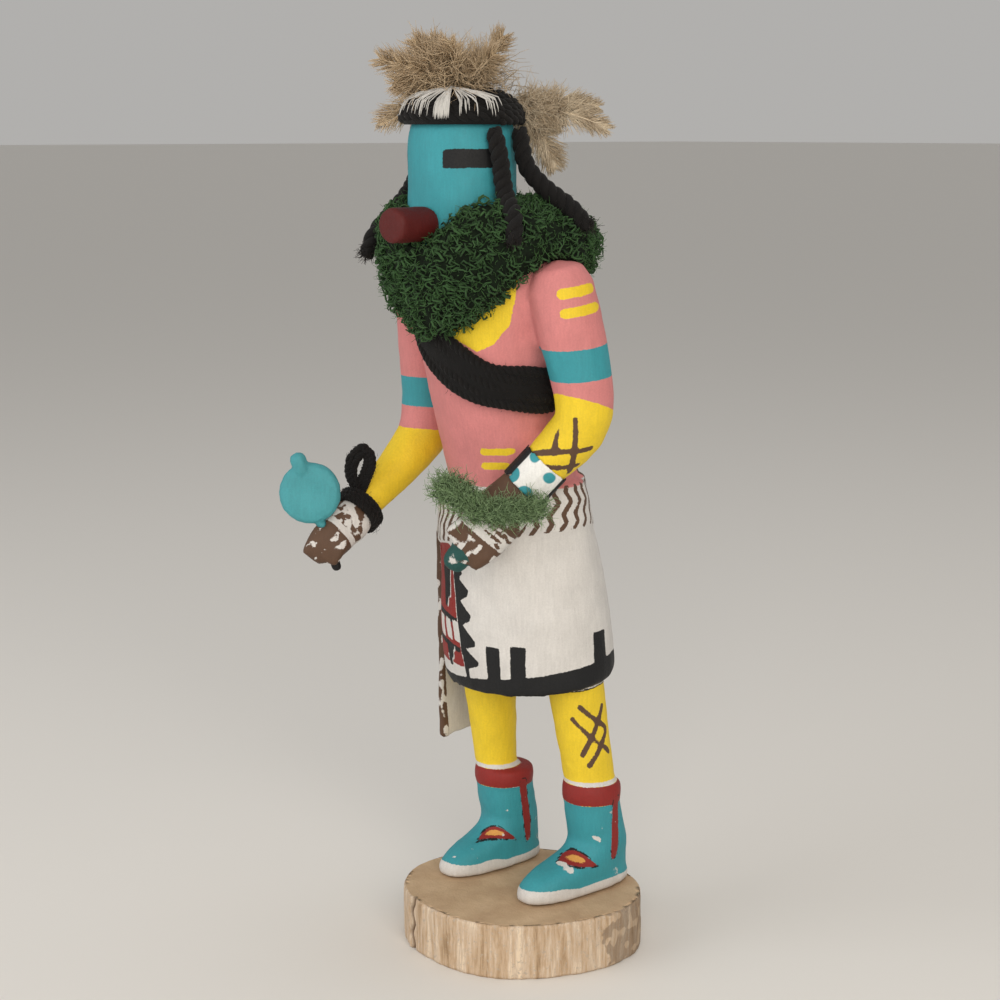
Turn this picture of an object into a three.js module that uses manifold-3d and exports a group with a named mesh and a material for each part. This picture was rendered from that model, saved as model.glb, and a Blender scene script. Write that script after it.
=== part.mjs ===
// A carved and painted kachina doll on a slice of branch, with yarn, wool and feather trimmings.
// Units are millimetres. +Z is up, the doll faces -Y and its left hand is on the +X side.
// The origin is the middle of the slice's underside.

import * as THREE from 'three';
import Module from 'manifold-3d';

const wasm = await Module();
wasm.setup();

// ---------------------------------------------------------------------------
// Driving dimensions
// ---------------------------------------------------------------------------

const FIT_GAP = 0.3; // clearance kept between two separate pieces
const MIDLINE = -8.8; // the figure stands to the right of the slice's middle

const SLAB = { radius: 35.1, height: 17, bevel: 0.8, sides: 48 };
// Each row is one wave of the slice's outline: lobes, height of the wave, direction in degrees.
const SLAB_WAVES = [[1, 2.0, 146], [2, 2.0, 70], [3, 0.4, 190], [4, 0.6, 131]];

const SOLE_HEIGHT = 3.6;
const CUFF_BULGE = 0.5;

const MASK = { y: -16.3, radius: 16, bottom: 211, brow: 246, top: 259.2 };
const HAIR = { radius: 18.3, bottom: 252.3, top: 262.4, cord: 2.45 };
const SNOUT = { radius: 5.0, reach: 31, z: 224.2, turn: 10 };

const RUFF = { y: -4.2, wide: 31.6, deep: 31.6, top: 230.6 };
const SNOUT_DIP = { depth: 10, spread: 24 }; // how far the wool sinks below the snout, over how many degrees
const BAND = { width: 12.4, thick: 3.6 };
const RATTLE = { radius: 9.4, thick: 4.8, stick: 1.6 };
const SASH = { width: 24, thick: 2.6, top: 143, bottom: 57.5 };
const PELT_RELIEF = 1.5;

// ---------------------------------------------------------------------------
// Vectors, rings and lofts
// ---------------------------------------------------------------------------

function vec(x, y, z) {
  return new THREE.Vector3(x, y, z);
}

function smooth(rows, closed = false) {
  return new THREE.CatmullRomCurve3(rows.map((row) => vec(...row)), closed);
}

function radians(degrees) {
  return THREE.MathUtils.degToRad(degrees);
}

// A power of a sine or cosine that keeps its sign: it squares off an ellipse.
function squared(value, power) {
  return Math.sign(value) * Math.abs(value) ** power;
}

// One closed outline: an ellipse across `a` and `b`, squared off when `round` is above 2.
function outline(centre, a, b, wide, deep, round, sides) {
  const ring = [];
  for (let i = 0; i < sides; i += 1) {
    const angle = (i / sides) * Math.PI * 2;
    const point = centre.clone();
    point.addScaledVector(a, wide * squared(Math.cos(angle), 2 / round));
    point.addScaledVector(b, deep * squared(Math.sin(angle), 2 / round));
    ring.push(point);
  }
  return ring;
}

// A closed skin through outlines of equal length, finished with a tip at either end.
function loft(rings, startTip = null, endTip = null) {
  const sides = rings[0].length;
  const last = (rings.length - 1) * sides;
  const points = rings.flat();
  const faces = [];
  for (let r = 0; r + 1 < rings.length; r += 1) {
    for (let i = 0; i < sides; i += 1) {
      const a = r * sides + i;
      const b = r * sides + ((i + 1) % sides);
      faces.push(a, b, b + sides);
      faces.push(a, b + sides, a + sides);
    }
  }
  const start = points.push(startTip ?? middle(rings[0])) - 1;
  const end = points.push(endTip ?? middle(rings[rings.length - 1])) - 1;
  for (let i = 0; i < sides; i += 1) {
    const next = (i + 1) % sides;
    faces.push(start, next, i);
    faces.push(end, last + i, last + next);
  }
  return solidOf(points, faces);
}

// A closed ring of outlines, such as a torus.
function loop(rings) {
  const sides = rings[0].length;
  const points = rings.flat();
  const faces = [];
  for (let r = 0; r < rings.length; r += 1) {
    for (let i = 0; i < sides; i += 1) {
      const next = ((r + 1) % rings.length) * sides;
      const a = r * sides + i;
      const b = r * sides + ((i + 1) % sides);
      faces.push(a, b, next + ((i + 1) % sides));
      faces.push(a, next + ((i + 1) % sides), next + i);
    }
  }
  return solidOf(points, faces);
}

function middle(ring) {
  const sum = ring.reduce((total, point) => total.add(point), vec(0, 0, 0));
  return sum.divideScalar(ring.length);
}

function solidOf(points, faces) {
  const vertProperties = new Float32Array(points.flatMap((point) => [point.x, point.y, point.z]));
  const triVerts = new Uint32Array(faces);
  return new wasm.Manifold(new wasm.Mesh({ numProp: 3, vertProperties, triVerts }));
}

function joined(solids) {
  return solids.reduce((whole, solid) => whole.add(solid));
}

function cutBy(solid, tools) {
  return tools.reduce((rest, tool) => rest.subtract(tool), solid);
}

// Horizontal outlines stacked upwards through smooth key sections.
// A key is { x, y, z, wide, deep, round, tiltX, tiltY }; a tilt is the outline's rise per millimetre.
function stack(keys, steps, sides, grow = 0) {
  const places = smooth(keys.map((key) => [key.x ?? MIDLINE, key.y, key.z]));
  const sizes = smooth(keys.map((key) => [key.wide, key.deep, key.round ?? 2]));
  const tilts = smooth(keys.map((key) => [key.tiltX ?? 0, key.tiltY ?? 0, 0]));
  const rings = [];
  for (let k = 0; k <= steps; k += 1) {
    const t = k / steps;
    const place = places.getPoint(t);
    const size = sizes.getPoint(t);
    const tilt = tilts.getPoint(t);
    const end = Number(k === steps) - Number(k === 0);
    place.z += grow * end;
    const ring = outline(place, vec(1, 0, tilt.x), vec(0, 1, tilt.y), size.x + grow, size.y + grow, size.z, sides);
    rings.push(ring);
  }
  return loft(rings);
}

// An outline carried along a smooth path. A station is [x, y, z, halfThick, halfWide]; `face` is the
// direction that the thin way of the outline looks, and `bulge` rounds each end by that share.
function sweep(stations, options = {}) {
  const { steps = 8, sides = 12, face = () => vec(0, 0, 1), round = 2, grow = 0, bulge = 0.8 } = options;
  const dome = options.dome ?? [0.75];
  const path = smooth(stations.map((station) => station.slice(0, 3)));
  const sizes = smooth(stations.map((station) => [station[3], station[4] ?? station[3], 0]));
  const rings = [];
  const addRing = (t, shift, scale) => {
    const along = path.getTangent(t);
    const normal = face(t).clone();
    normal.addScaledVector(along, -normal.dot(along)).normalize();
    const side = along.clone().cross(normal);
    const size = sizes.getPoint(t);
    const centre = path.getPoint(t).addScaledVector(along, shift);
    rings.push(outline(centre, normal, side, size.x * scale + grow, size.y * scale + grow, round, sides));
    return centre;
  };
  const headSize = sizes.getPoint(0).x * bulge + grow;
  const tailSize = sizes.getPoint(1).x * bulge + grow;
  dome.slice().reverse().forEach((scale) => addRing(0, -headSize * Math.sqrt(1 - scale * scale), scale));
  for (let k = 0; k <= steps; k += 1) {
    addRing(k / steps, 0, 1);
  }
  dome.forEach((scale) => addRing(1, tailSize * Math.sqrt(1 - scale * scale), scale));
  const startTip = path.getPoint(0).addScaledVector(path.getTangent(0), -headSize);
  const endTip = path.getPoint(1).addScaledVector(path.getTangent(1), tailSize);
  return loft(rings, startTip, endTip);
}

// A round cord or limb. `level` is any direction that the path never runs along.
function rod(stations, level, options = {}) {
  return sweep(stations, { face: () => level, ...options });
}

// ---------------------------------------------------------------------------
// The slice of branch
// ---------------------------------------------------------------------------

function slabRadius(angle) {
  return SLAB_WAVES.reduce(
    (sum, [lobes, wave, turn]) => sum + wave * Math.cos(lobes * angle - radians(turn)),
    SLAB.radius,
  );
}

function baseSlab() {
  const levels = [[0, SLAB.bevel], [SLAB.bevel, 0], [SLAB.height - SLAB.bevel, 0], [SLAB.height, SLAB.bevel]];
  const rings = levels.map(([z, inset]) => {
    const ring = [];
    for (let i = 0; i < SLAB.sides; i += 1) {
      const angle = (i / SLAB.sides) * Math.PI * 2;
      const radius = slabRadius(angle) - inset * 0.6;
      ring.push(vec(radius * Math.cos(angle), radius * Math.sin(angle), z));
    }
    return ring;
  });
  return loft(rings);
}

// ---------------------------------------------------------------------------
// The carved figure. Every part takes `grow`, so that a slightly larger twin can cut its neighbours.
// ---------------------------------------------------------------------------

const STAND = SLAB.height + FIT_GAP;

// Boot levels are [z, toe y, heel y, half width], from the sole upwards.
const LEFT_BOOT = {
  x: 11.4,
  levels: [
    [20.6, -9.6, 31.6, 7.8], [22.4, -8.9, 31.5, 8.0], [24.8, -5.6, 31.3, 8.0], [26.8, 0.4, 31.0, 8.0],
    [28.4, 7.4, 30.7, 8.2], [31.2, 11.7, 30.2, 8.5], [37, 10.6, 28.7, 8.6], [45.7, 8.9, 26.5, 8.8],
  ],
  cuff: [45.7, 51.4, 12.3, 17.7, 8.9],
};
const RIGHT_BOOT = {
  x: -22.3,
  levels: [
    [20.6, -13.4, 24.2, 7.6], [22.2, -12.6, 24.2, 7.7], [24.4, -9.8, 24.0, 7.6], [26.4, -5.2, 23.8, 7.6],
    [28.6, 0.6, 23.4, 7.9], [31.5, 4.2, 22.8, 8.2], [38, 3.0, 21.6, 8.6], [44.4, 1.9, 20.4, 9.0],
  ],
  cuff: [44.4, 49.8, -22.1, 11.0, 9.2],
};

function boot(shape, grow) {
  const [cuffBottom, cuffTop, cuffX, cuffY, cuffRadius] = shape.cuff;
  const upper = shape.levels.map(([z, toe, heel, half]) => ({
    x: THREE.MathUtils.mapLinear(z, 20.6, cuffBottom, shape.x, cuffX),
    y: (toe + heel) / 2,
    z,
    wide: half,
    deep: (heel - toe) / 2,
    round: THREE.MathUtils.mapLinear(z, 20.6, cuffBottom, 2.6, 2),
  }));
  const [, toe, heel, half] = shape.levels[0];
  const sole = [STAND, STAND + 0.7, STAND + SOLE_HEIGHT].map((z, k) => ({
    x: shape.x,
    y: (toe + heel) / 2,
    z,
    wide: half + [0.1, 0.6, 0.5][k],
    deep: (heel - toe) / 2 + [0.1, 0.7, 0.6][k],
    round: 2.6,
  }));
  const cuff = [0, 0.25, 0.75, 1].map((t, k) => ({
    x: cuffX,
    y: cuffY,
    z: THREE.MathUtils.lerp(cuffBottom, cuffTop, t),
    wide: cuffRadius + [0, CUFF_BULGE, CUFF_BULGE, 0][k],
    deep: cuffRadius + [0, CUFF_BULGE, CUFF_BULGE, 0][k],
  }));
  return joined([stack(sole, 2, 18, grow), stack(upper, 8, 18, grow), stack(cuff, 3, 18, grow)]);
}

function legs(grow) {
  const left = [
    { x: 12.3, y: 17.8, z: 42, wide: 7.8, deep: 7.8 },
    { x: 11.8, y: 17.2, z: 53, wide: 8.0, deep: 8.0 },
    { x: 10.6, y: 15.4, z: 66, wide: 8.4, deep: 8.4 },
    { x: 8.6, y: 12.4, z: 90, wide: 9.1, deep: 9.1 },
  ];
  const right = [
    { x: -23.6, y: 9.3, z: 41, wide: 6.4, deep: 6.4 },
    { x: -23.7, y: 9.1, z: 50, wide: 6.5, deep: 6.5 },
    { x: -23.6, y: 7.2, z: 68, wide: 8.0, deep: 8.0 },
    { x: -23.6, y: 5.4, z: 90, wide: 9, deep: 9 },
  ];
  return joined([stack(left, 4, 16, grow), stack(right, 4, 16, grow)]);
}

function kilt(grow) {
  const keys = [
    { y: 10.3, z: 83.6, wide: 29.4, deep: 22.9, tiltX: 0.03, tiltY: 0.12 },
    { y: 10.2, z: 85, wide: 30.1, deep: 23.5, tiltX: 0.03, tiltY: 0.12 },
    { y: 9.2, z: 93, wide: 30.0, deep: 23.9, tiltX: 0.04, tiltY: 0.1 },
    { y: 8.0, z: 103, wide: 29.5, deep: 23.9, tiltX: 0.07, tiltY: 0.08 },
    { y: 6.6, z: 117, wide: 27.9, deep: 22.6, tiltX: 0.12, tiltY: 0.05 },
    { y: 4.8, z: 129, wide: 26.3, deep: 20.9, tiltX: 0.17, tiltY: 0.02 },
    { y: 4.4, z: 133, wide: 24.8, deep: 19.8, tiltX: 0.17, tiltY: 0.02 },
  ];
  return stack(keys, 8, 28, grow);
}

function belt(grow) {
  const keys = [
    { y: 4.1, z: 128.6, wide: 26.6, deep: 21.3, tiltX: 0.17, tiltY: 0.02 },
    { y: 4.0, z: 129.6, wide: 27.3, deep: 21.9, tiltX: 0.17, tiltY: 0.02 },
    { y: 3.5, z: 137, wide: 26.1, deep: 21.1, tiltX: 0.16, tiltY: 0.02 },
    { y: 3.1, z: 142.6, wide: 24.8, deep: 20.1, tiltX: 0.15, tiltY: 0.02 },
    { y: 3.0, z: 143.6, wide: 24.0, deep: 19.4, tiltX: 0.15, tiltY: 0.02 },
  ];
  return stack(keys, 4, 28, grow);
}

const TORSO = [
  { y: 3.4, z: 137, wide: 21.4, deep: 18 },
  { y: 2.4, z: 148, wide: 20.9, deep: 17.8 },
  { y: 0.6, z: 158, wide: 21.6, deep: 19.2 },
  { y: -1.1, z: 168, wide: 22, deep: 20.3 },
  { y: -2.7, z: 178, wide: 22.8, deep: 21 },
  { y: -4.6, z: 189, wide: 24.6, deep: 20.8 },
  { y: -6.4, z: 199, wide: 27.6, deep: 18.4 },
  { y: -7.6, z: 207, wide: 29.2, deep: 15 },
  { y: -8.6, z: 213, wide: 27, deep: 11.6 },
  { y: -9.4, z: 216.6, wide: 20, deep: 9 },
];

function torso(grow) {
  return stack(TORSO, 10, 24, grow);
}

function mask(grow) {
  const { y, radius, bottom, brow, top } = MASK;
  const rings = [bottom - grow, 228].map((z) => (
    outline(vec(MIDLINE, y, z), vec(1, 0, 0), vec(0, 1, 0), radius + grow, radius + grow, 2, 24)
  ));
  for (let k = 0; k <= 5; k += 1) {
    const climb = (k / 6) * Math.PI / 2;
    const size = radius * Math.cos(climb) ** 0.55 + grow;
    const z = brow + (top - brow + grow) * Math.sin(climb);
    rings.push(outline(vec(MIDLINE, y, z), vec(1, 0, 0), vec(0, 1, 0), size, size, 2, 24));
  }
  return loft(rings, null, vec(MIDLINE, y, top + grow));
}

const LEFT_ARM = [
  [22.8, -5.6, 207, 9.7], [23.8, -4.0, 198, 10], [25.0, -2.3, 189.9, 9.7], [26.1, -1.0, 182, 9.2],
  [26.9, 0.0, 174.6, 8.8], [26.2, 0.0, 167.2, 8.5], [22.6, -2.8, 161.2, 8.1], [18.2, -6.9, 155, 7.1],
  [14.6, -11.1, 149.2, 6.2],
];
const LEFT_HAND = [
  [14.9, -10.8, 149.6, 5.4, 6.2], [11.9, -14.7, 144, 6.2, 7.6], [9.2, -18.4, 138.8, 6.9, 8.4],
  [6.7, -21.6, 133.8, 6.9, 8.2], [4.9, -24, 130.6, 5.9, 7.0],
];
const RIGHT_ARM = [
  [-40, -5.2, 207, 9.7], [-41, -4.4, 193, 9.7], [-41.6, -3.4, 179, 9.3], [-42, -3, 167, 8.8],
  [-42.2, -5, 157.4, 8.1], [-42, -12.4, 149.8, 7.2], [-41.2, -21.6, 142.9, 6.1], [-40.4, -30.4, 136.8, 5.0],
];
const RIGHT_HAND = [
  [-40, -34.6, 133.9, 6.2, 6.6], [-39.6, -37.4, 131.9, 6.5, 6.9], [-39.5, -39.4, 130.5, 5.5, 6.0],
  [-39.6, -41.9, 128.8, 5.9, 6.5], [-40.2, -45.2, 126.4, 5.4, 6.0], [-40.8, -47.6, 124.7, 4.2, 4.9],
];

// Four curled fingers across a fist: `heel` is where the knuckles start, `reach` how far they run.
function fingers(heel, reach, across, outward, radius, grow) {
  const bars = [];
  for (let k = 0; k < 4; k += 1) {
    const offset = across.clone().multiplyScalar((k - 1.5) * radius * 1.75);
    const root = heel.clone().add(offset);
    const tip = root.clone().add(reach);
    const bend = root.clone().lerp(tip, 0.55).addScaledVector(outward, radius * 0.7);
    const stations = [root, bend, tip].map((point) => [point.x, point.y, point.z, radius]);
    bars.push(rod(stations, across, { steps: 2, sides: 6, grow }));
  }
  return joined(bars);
}

function leftArm(grow) {
  const outward = vec(0.77, -0.64, 0);
  const hand = sweep(LEFT_HAND, { steps: 5, sides: 14, face: () => outward, round: 2.7, grow });
  const knuckles = fingers(vec(10.2, -22.6, 136.2), vec(-5.2, -5, -6), vec(0.4, 0.42, -0.81), outward, 2.3, grow);
  const sprigEnd = rod([[2.8, -25.6, 129.2, 3.8], [0.9, -27.2, 125.6, 4.2]], outward, { steps: 1, sides: 7, grow });
  return joined([rod(LEFT_ARM, outward, { steps: 12, sides: 14, grow }), hand, knuckles, sprigEnd]);
}

function rightArm(grow) {
  const outward = vec(0.77, -0.64, 0);
  const hand = sweep(RIGHT_HAND, { steps: 7, sides: 12, face: () => outward, round: 2.5, grow });
  const knuckles = fingers(vec(-37.2, -44.4, 130.4), vec(-1.4, -3.6, -7.2), vec(-0.62, -0.7, 0.35), outward, 1.7, grow);
  return joined([rod(RIGHT_ARM, vec(1, 0, 0), { steps: 10, sides: 14, grow }), hand, knuckles]);
}

// A flat board hanging at the right hip, its front edge turned a little towards the middle.
function sash(grow) {
  const { width, thick, top, bottom } = SASH;
  const stations = [
    [-35.6, 5.6, top, thick / 2 - 0.2, width / 2 - 3], [-37, 5.8, 133, thick / 2 + 0.2, width / 2],
    [-38.3, 7.2, 105, thick / 2, width / 2], [-39.7, 8.4, 80, thick / 2, width / 2],
    [-40.3, 9.2, bottom, thick / 2, width / 2],
  ];
  const lookOut = vec(-0.985, -0.17, 0);
  return sweep(stations, { steps: 6, sides: 12, face: () => lookOut, round: 6, grow, bulge: 0.2, dome: [0.8] });
}

// A fox pelt in low relief down the middle of the back, wide where it is tucked under the belt.
function pelt(grow) {
  const shape = new THREE.Shape();
  shape.moveTo(-15, 153);
  shape.lineTo(-13, 143);
  shape.quadraticCurveTo(-7.5, 128, -7.5, 104);
  shape.quadraticCurveTo(-6, 91, 0, 88);
  shape.quadraticCurveTo(6, 91, 7.5, 104);
  shape.quadraticCurveTo(7.5, 128, 13, 143);
  shape.lineTo(15, 153);
  const contour = shape.getPoints(2);
  const rings = [70, 4].map((y) => contour.map((point) => vec(MIDLINE + point.x, y, point.y)));
  const block = loft(rings);
  const relief = PELT_RELIEF + grow;
  return joined([torso(relief), belt(relief), kilt(relief)]).intersect(block);
}

function carvedFigure(grow = 0) {
  const body = joined([legs(grow), kilt(grow), belt(grow), torso(grow), mask(grow), sash(grow), pelt(grow)]);
  const limbs = [boot(LEFT_BOOT, grow), boot(RIGHT_BOOT, grow), leftArm(grow), rightArm(grow)];
  return joined([body, ...limbs]);
}

// ---------------------------------------------------------------------------
// Snout, rattle and wrist plate
// ---------------------------------------------------------------------------

function snout(grow = 0) {
  const { radius, reach, z, turn } = SNOUT;
  const ahead = vec(Math.sin(radians(turn)), -Math.cos(radians(turn)), 0);
  const levels = [[8, 0], [reach - 1.1, 0.1], [reach - 0.25, -0.25], [reach, -0.9]];
  const side = ahead.clone().cross(vec(0, 0, 1));
  const rings = levels.map(([distance, swell], k) => {
    const centre = vec(MIDLINE, MASK.y, z).addScaledVector(ahead, distance + (k > 1 ? grow : 0));
    return outline(centre, vec(0, 0, 1), side.clone(), radius + swell + grow, radius + swell + grow, 2, 20);
  });
  return loft(rings);
}

const RATTLE_CENTRE = vec(-42.3, -48.9, 142.6);
const STICK_FOOT = vec(-38.1, -42.4, 119.4);

function rattleStick(grow) {
  const line = STICK_FOOT.clone().sub(RATTLE_CENTRE).normalize();
  const top = RATTLE_CENTRE.clone().addScaledVector(line, -10.6);
  const stations = [top, RATTLE_CENTRE, STICK_FOOT].map((point) => [point.x, point.y, point.z, RATTLE.stick]);
  return rod(stations, vec(1, 0, 0), { steps: 2, sides: 8, grow });
}

function rattle(grow = 0) {
  const face = vec(0.77, -0.635, 0.06).normalize();
  const upward = vec(0, 0, 1).addScaledVector(face, -face.z).normalize();
  const sideways = upward.clone().cross(face);
  const half = RATTLE.thick / 2;
  const profile = [[-half, 0.62], [-half * 0.78, 0.88], [-half * 0.3, 1], [half * 0.3, 1], [half * 0.78, 0.9], [half, 0.66]];
  const rings = profile.map(([depth, share]) => {
    const centre = RATTLE_CENTRE.clone().addScaledVector(face, depth + grow * Math.sign(depth));
    return outline(centre, sideways, upward.clone(), RATTLE.radius * share + grow, RATTLE.radius * share + grow, 2, 22);
  });
  const line = STICK_FOOT.clone().sub(RATTLE_CENTRE).normalize();
  const stub = [7, 11].map((reach) => {
    const point = RATTLE_CENTRE.clone().addScaledVector(line, -reach);
    return [point.x, point.y, point.z, 2.6];
  });
  return joined([loft(rings), rod(stub, vec(1, 0, 0), { steps: 1, sides: 8, grow }), rattleStick(grow)]);
}

function bowGuard(grow = 0) {
  const stations = [
    [18.9, -6.8, 155.4, 7.6, 7.7], [16.3, -9.5, 151.3, 7.2, 7.6], [14, -12.2, 147.4, 7.0, 7.7],
  ];
  const outward = vec(0.766, -0.643, 0);
  return sweep(stations, { steps: 2, sides: 16, face: () => outward, grow, bulge: 0.05, dome: [0.95] });
}

// ---------------------------------------------------------------------------
// Yarn and wool
// ---------------------------------------------------------------------------

// A point on the torso at `angle` degrees from the front towards the left hand, `out` beyond the skin.
function torsoPoint(angle, z, out) {
  const places = smooth(TORSO.map((key) => [MIDLINE, key.y, key.z]));
  const sizes = smooth(TORSO.map((key) => [key.wide, key.deep, 0]));
  let low = 0;
  let high = 1;
  for (let k = 0; k < 30; k += 1) {
    const half = (low + high) / 2;
    if (places.getPoint(half).z < z) {
      low = half;
    } else {
      high = half;
    }
  }
  const place = places.getPoint(low);
  const size = sizes.getPoint(low);
  const across = Math.sin(radians(angle));
  const ahead = -Math.cos(radians(angle));
  return vec(place.x + (size.x + out) * across, place.y + (size.y + out) * ahead, z);
}

// The bandolier's middle line: [degrees from the front, height], right round the body.
const BAND_ROUTE = [
  [-30, 203], [-13, 194.5], [2, 187.6], [19, 182.4], [37, 178.6], [55, 176.8], [73, 176.2], [92, 176.2],
  [115, 178], [142, 183], [170, 190.5], [198, 199.5], [225, 207.5], [255, 213.2], [282, 214.6], [308, 210.6],
];

function bandolier(grow = 0) {
  const lift = 1.1;
  const path = new THREE.CatmullRomCurve3(BAND_ROUTE.map(([angle, z]) => torsoPoint(angle, z, lift)), true);
  const skin = new THREE.CatmullRomCurve3(BAND_ROUTE.map(([angle, z]) => torsoPoint(angle, z, -8)), true);
  const rings = [];
  const steps = 30;
  for (let k = 0; k < steps; k += 1) {
    const t = k / steps;
    const along = path.getTangent(t);
    const normal = path.getPoint(t).sub(skin.getPoint(t));
    normal.addScaledVector(along, -normal.dot(along)).normalize();
    const side = along.clone().cross(normal);
    rings.push(outline(path.getPoint(t), normal, side, BAND.thick / 2 + grow, BAND.width / 2 + grow, 2.6, 8));
  }
  return loop(rings);
}

// The ruff's outer skin. A profile row is [share of the height, share of the full radius].
function ruff() {
  const { y, wide, deep, top } = RUFF;
  const sides = 28;
  const profile = [[0, 0.5], [0.05, 0.86], [0.2, 0.97], [0.45, 1.02], [0.7, 0.99], [0.88, 0.88], [1, 0.68]];
  const rings = profile.map(([rise, share]) => {
    const ring = [];
    for (let i = 0; i < sides; i += 1) {
      const angle = (i / sides) * Math.PI * 2;
      const ahead = Math.max(0, -Math.sin(angle));
      const bottom = 207 - 15.4 * ahead ** 1.8 + 1.5 * Math.cos(angle * 2);
      const turn = THREE.MathUtils.euclideanModulo(THREE.MathUtils.radToDeg(angle), 360) - 280;
      const crest = top - SNOUT_DIP.depth * Math.exp(-((turn / SNOUT_DIP.spread) ** 2));
      const shift = -7 * rise ** 2;
      const lump = 1 + 0.025 * Math.sin(angle * 5 + rise * 3) + 0.02 * Math.cos(angle * 8 - rise * 5);
      const px = MIDLINE + wide * share * lump * Math.cos(angle);
      const py = y + shift + deep * share * lump * Math.sin(angle);
      ring.push(vec(px, py, THREE.MathUtils.lerp(bottom, crest, rise)));
    }
    return ring;
  });
  return loft(rings);
}

function hairCap(grow = 0) {
  const { radius, bottom, top } = HAIR;
  const rings = [];
  const flat = [vec(1, 0, 0), vec(0, 1, 0)];
  rings.push(outline(vec(MIDLINE, MASK.y, bottom - grow), ...flat, radius - 0.9 + grow, radius - 0.9 + grow, 2, 24));
  for (let k = 0; k <= 4; k += 1) {
    const climb = (k / 5) * Math.PI / 2;
    const size = radius * Math.cos(climb) ** 0.6 + grow;
    const z = bottom + 1.2 + (top - bottom - 1.2) * Math.sin(climb) + grow;
    rings.push(outline(vec(MIDLINE, MASK.y, z), ...flat, size, size, 2, 24));
  }
  return loft(rings, null, vec(MIDLINE, MASK.y, top + grow));
}

// Routes of the three hanging cords of hair.
const BRAIDS = {
  left_front_braid: [
    [9.2, -19.2, 250.4], [10.4, -18, 243], [10.8, -17.2, 236], [12.6, -17.2, 231], [17.6, -19, 226.4], [19.6, -20.6, 220],
  ],
  left_rear_braid: [
    [7.4, -8.0, 250.2], [9.2, -8.4, 244.4], [11, -7.6, 239.4], [14.4, -4.2, 234.2], [19.4, 0.2, 229.2], [23.6, 3.4, 224],
  ],
  right_braid: [
    [-27, -14.6, 250.4], [-28.2, -16.4, 243], [-28.8, -18.8, 235], [-31.8, -22.6, 228], [-35.6, -27.4, 221], [-37, -30.2, 214.6],
  ],
};

function braid(name, grow = 0) {
  const radius = HAIR.cord;
  const stations = BRAIDS[name].map((point, k) => [...point, k > 4 ? radius * 1.1 : radius]);
  return rod(stations, vec(0.766, -0.643, 0), { steps: 8, sides: 7, grow });
}

function wristYarn(grow = 0) {
  const centre = vec(-40.3, -32.2, 135.6);
  const along = vec(0.1, -0.82, -0.56).normalize();
  const up = vec(0, 0, 1).addScaledVector(along, -along.z).normalize();
  const side = along.clone().cross(up);
  const rings = [];
  const steps = 16;
  for (let k = 0; k < steps; k += 1) {
    const angle = (k / steps) * Math.PI * 2;
    const spoke = up.clone().multiplyScalar(Math.cos(angle)).addScaledVector(side, Math.sin(angle));
    const place = centre.clone().addScaledVector(spoke, 6.7);
    rings.push(outline(place, spoke, along.clone().negate(), 1.7 + grow, 2.3 + grow, 2, 8));
  }
  const bow = [
    [-40.2, -33.4, 142.2, 1.7, 2.1], [-40.6, -34.2, 147, 1.9, 2.9], [-39.2, -32.6, 152, 1.9, 3.1],
    [-37.6, -30.9, 155.2, 1.6, 2.5],
  ];
  const tail = [
    [-46.2, -34.6, 135, 1.4, 1.9], [-46.8, -39.6, 132.4, 1.4, 2.2], [-45.8, -44.6, 128.8, 1.4, 2.3],
    [-44.6, -48.2, 123.8, 1.2, 2.0],
  ];
  const outward = vec(0.766, -0.643, 0);
  const options = { steps: 4, sides: 7, face: () => outward, grow };
  return joined([loop(rings), sweep(bow, options), sweep(tail, options)]);
}

function evergreen(grow = 0) {
  const outward = vec(0.766, -0.643, 0);
  const leftTuft = [
    [12.4, -27.2, 142.6, 3.2, 3.4], [7.4, -30.4, 146, 4.4, 6.2], [3.2, -33.6, 148.6, 4, 7], [0.4, -36.2, 148, 2.6, 4.8],
  ];
  const rightTuft = [
    [12.4, -27.2, 142.6, 3.2, 3.4], [17.6, -22.8, 142.4, 3.4, 4.6], [22.4, -17.8, 143, 3.2, 5], [25.8, -13.8, 144.4, 2.2, 3.2],
  ];
  const options = { steps: 4, sides: 9, face: () => outward, grow };
  return joined([sweep(leftTuft, options), sweep(rightTuft, options)]);
}

// ---------------------------------------------------------------------------
// Feathers
// ---------------------------------------------------------------------------

// A leaf-shaped feather from `root` through `bend` to `tip`.
function feather(root, bend, tip, halfWidth, thick) {
  const widths = [0.45, 1, 0.22];
  const stations = [root, bend, tip].map((point, k) => (
    [...point, thick * [1, 1, 0.5][k], halfWidth * widths[k]]
  ));
  const look = vec(0.766, -0.643, 0.25);
  return sweep(stations, { steps: 4, sides: 6, face: () => look, bulge: 0.5 });
}

// Crown feathers fan out from the top: [degrees from the front, reach, rise of the tip, half width].
const CROWN_FAN = [
  [-40, 25, 13, 6.2], [-82, 20, 14, 5.6], [-2, 22, 12, 5.6], [-52, 27, -7, 5.4], [-25, 17, 17, 6],
  [140, 13, 20.2, 5.4], [96, 15, 14, 5.4], [-165, 15, 15, 5.2], [-120, 14, 17, 5.4],
];

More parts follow.
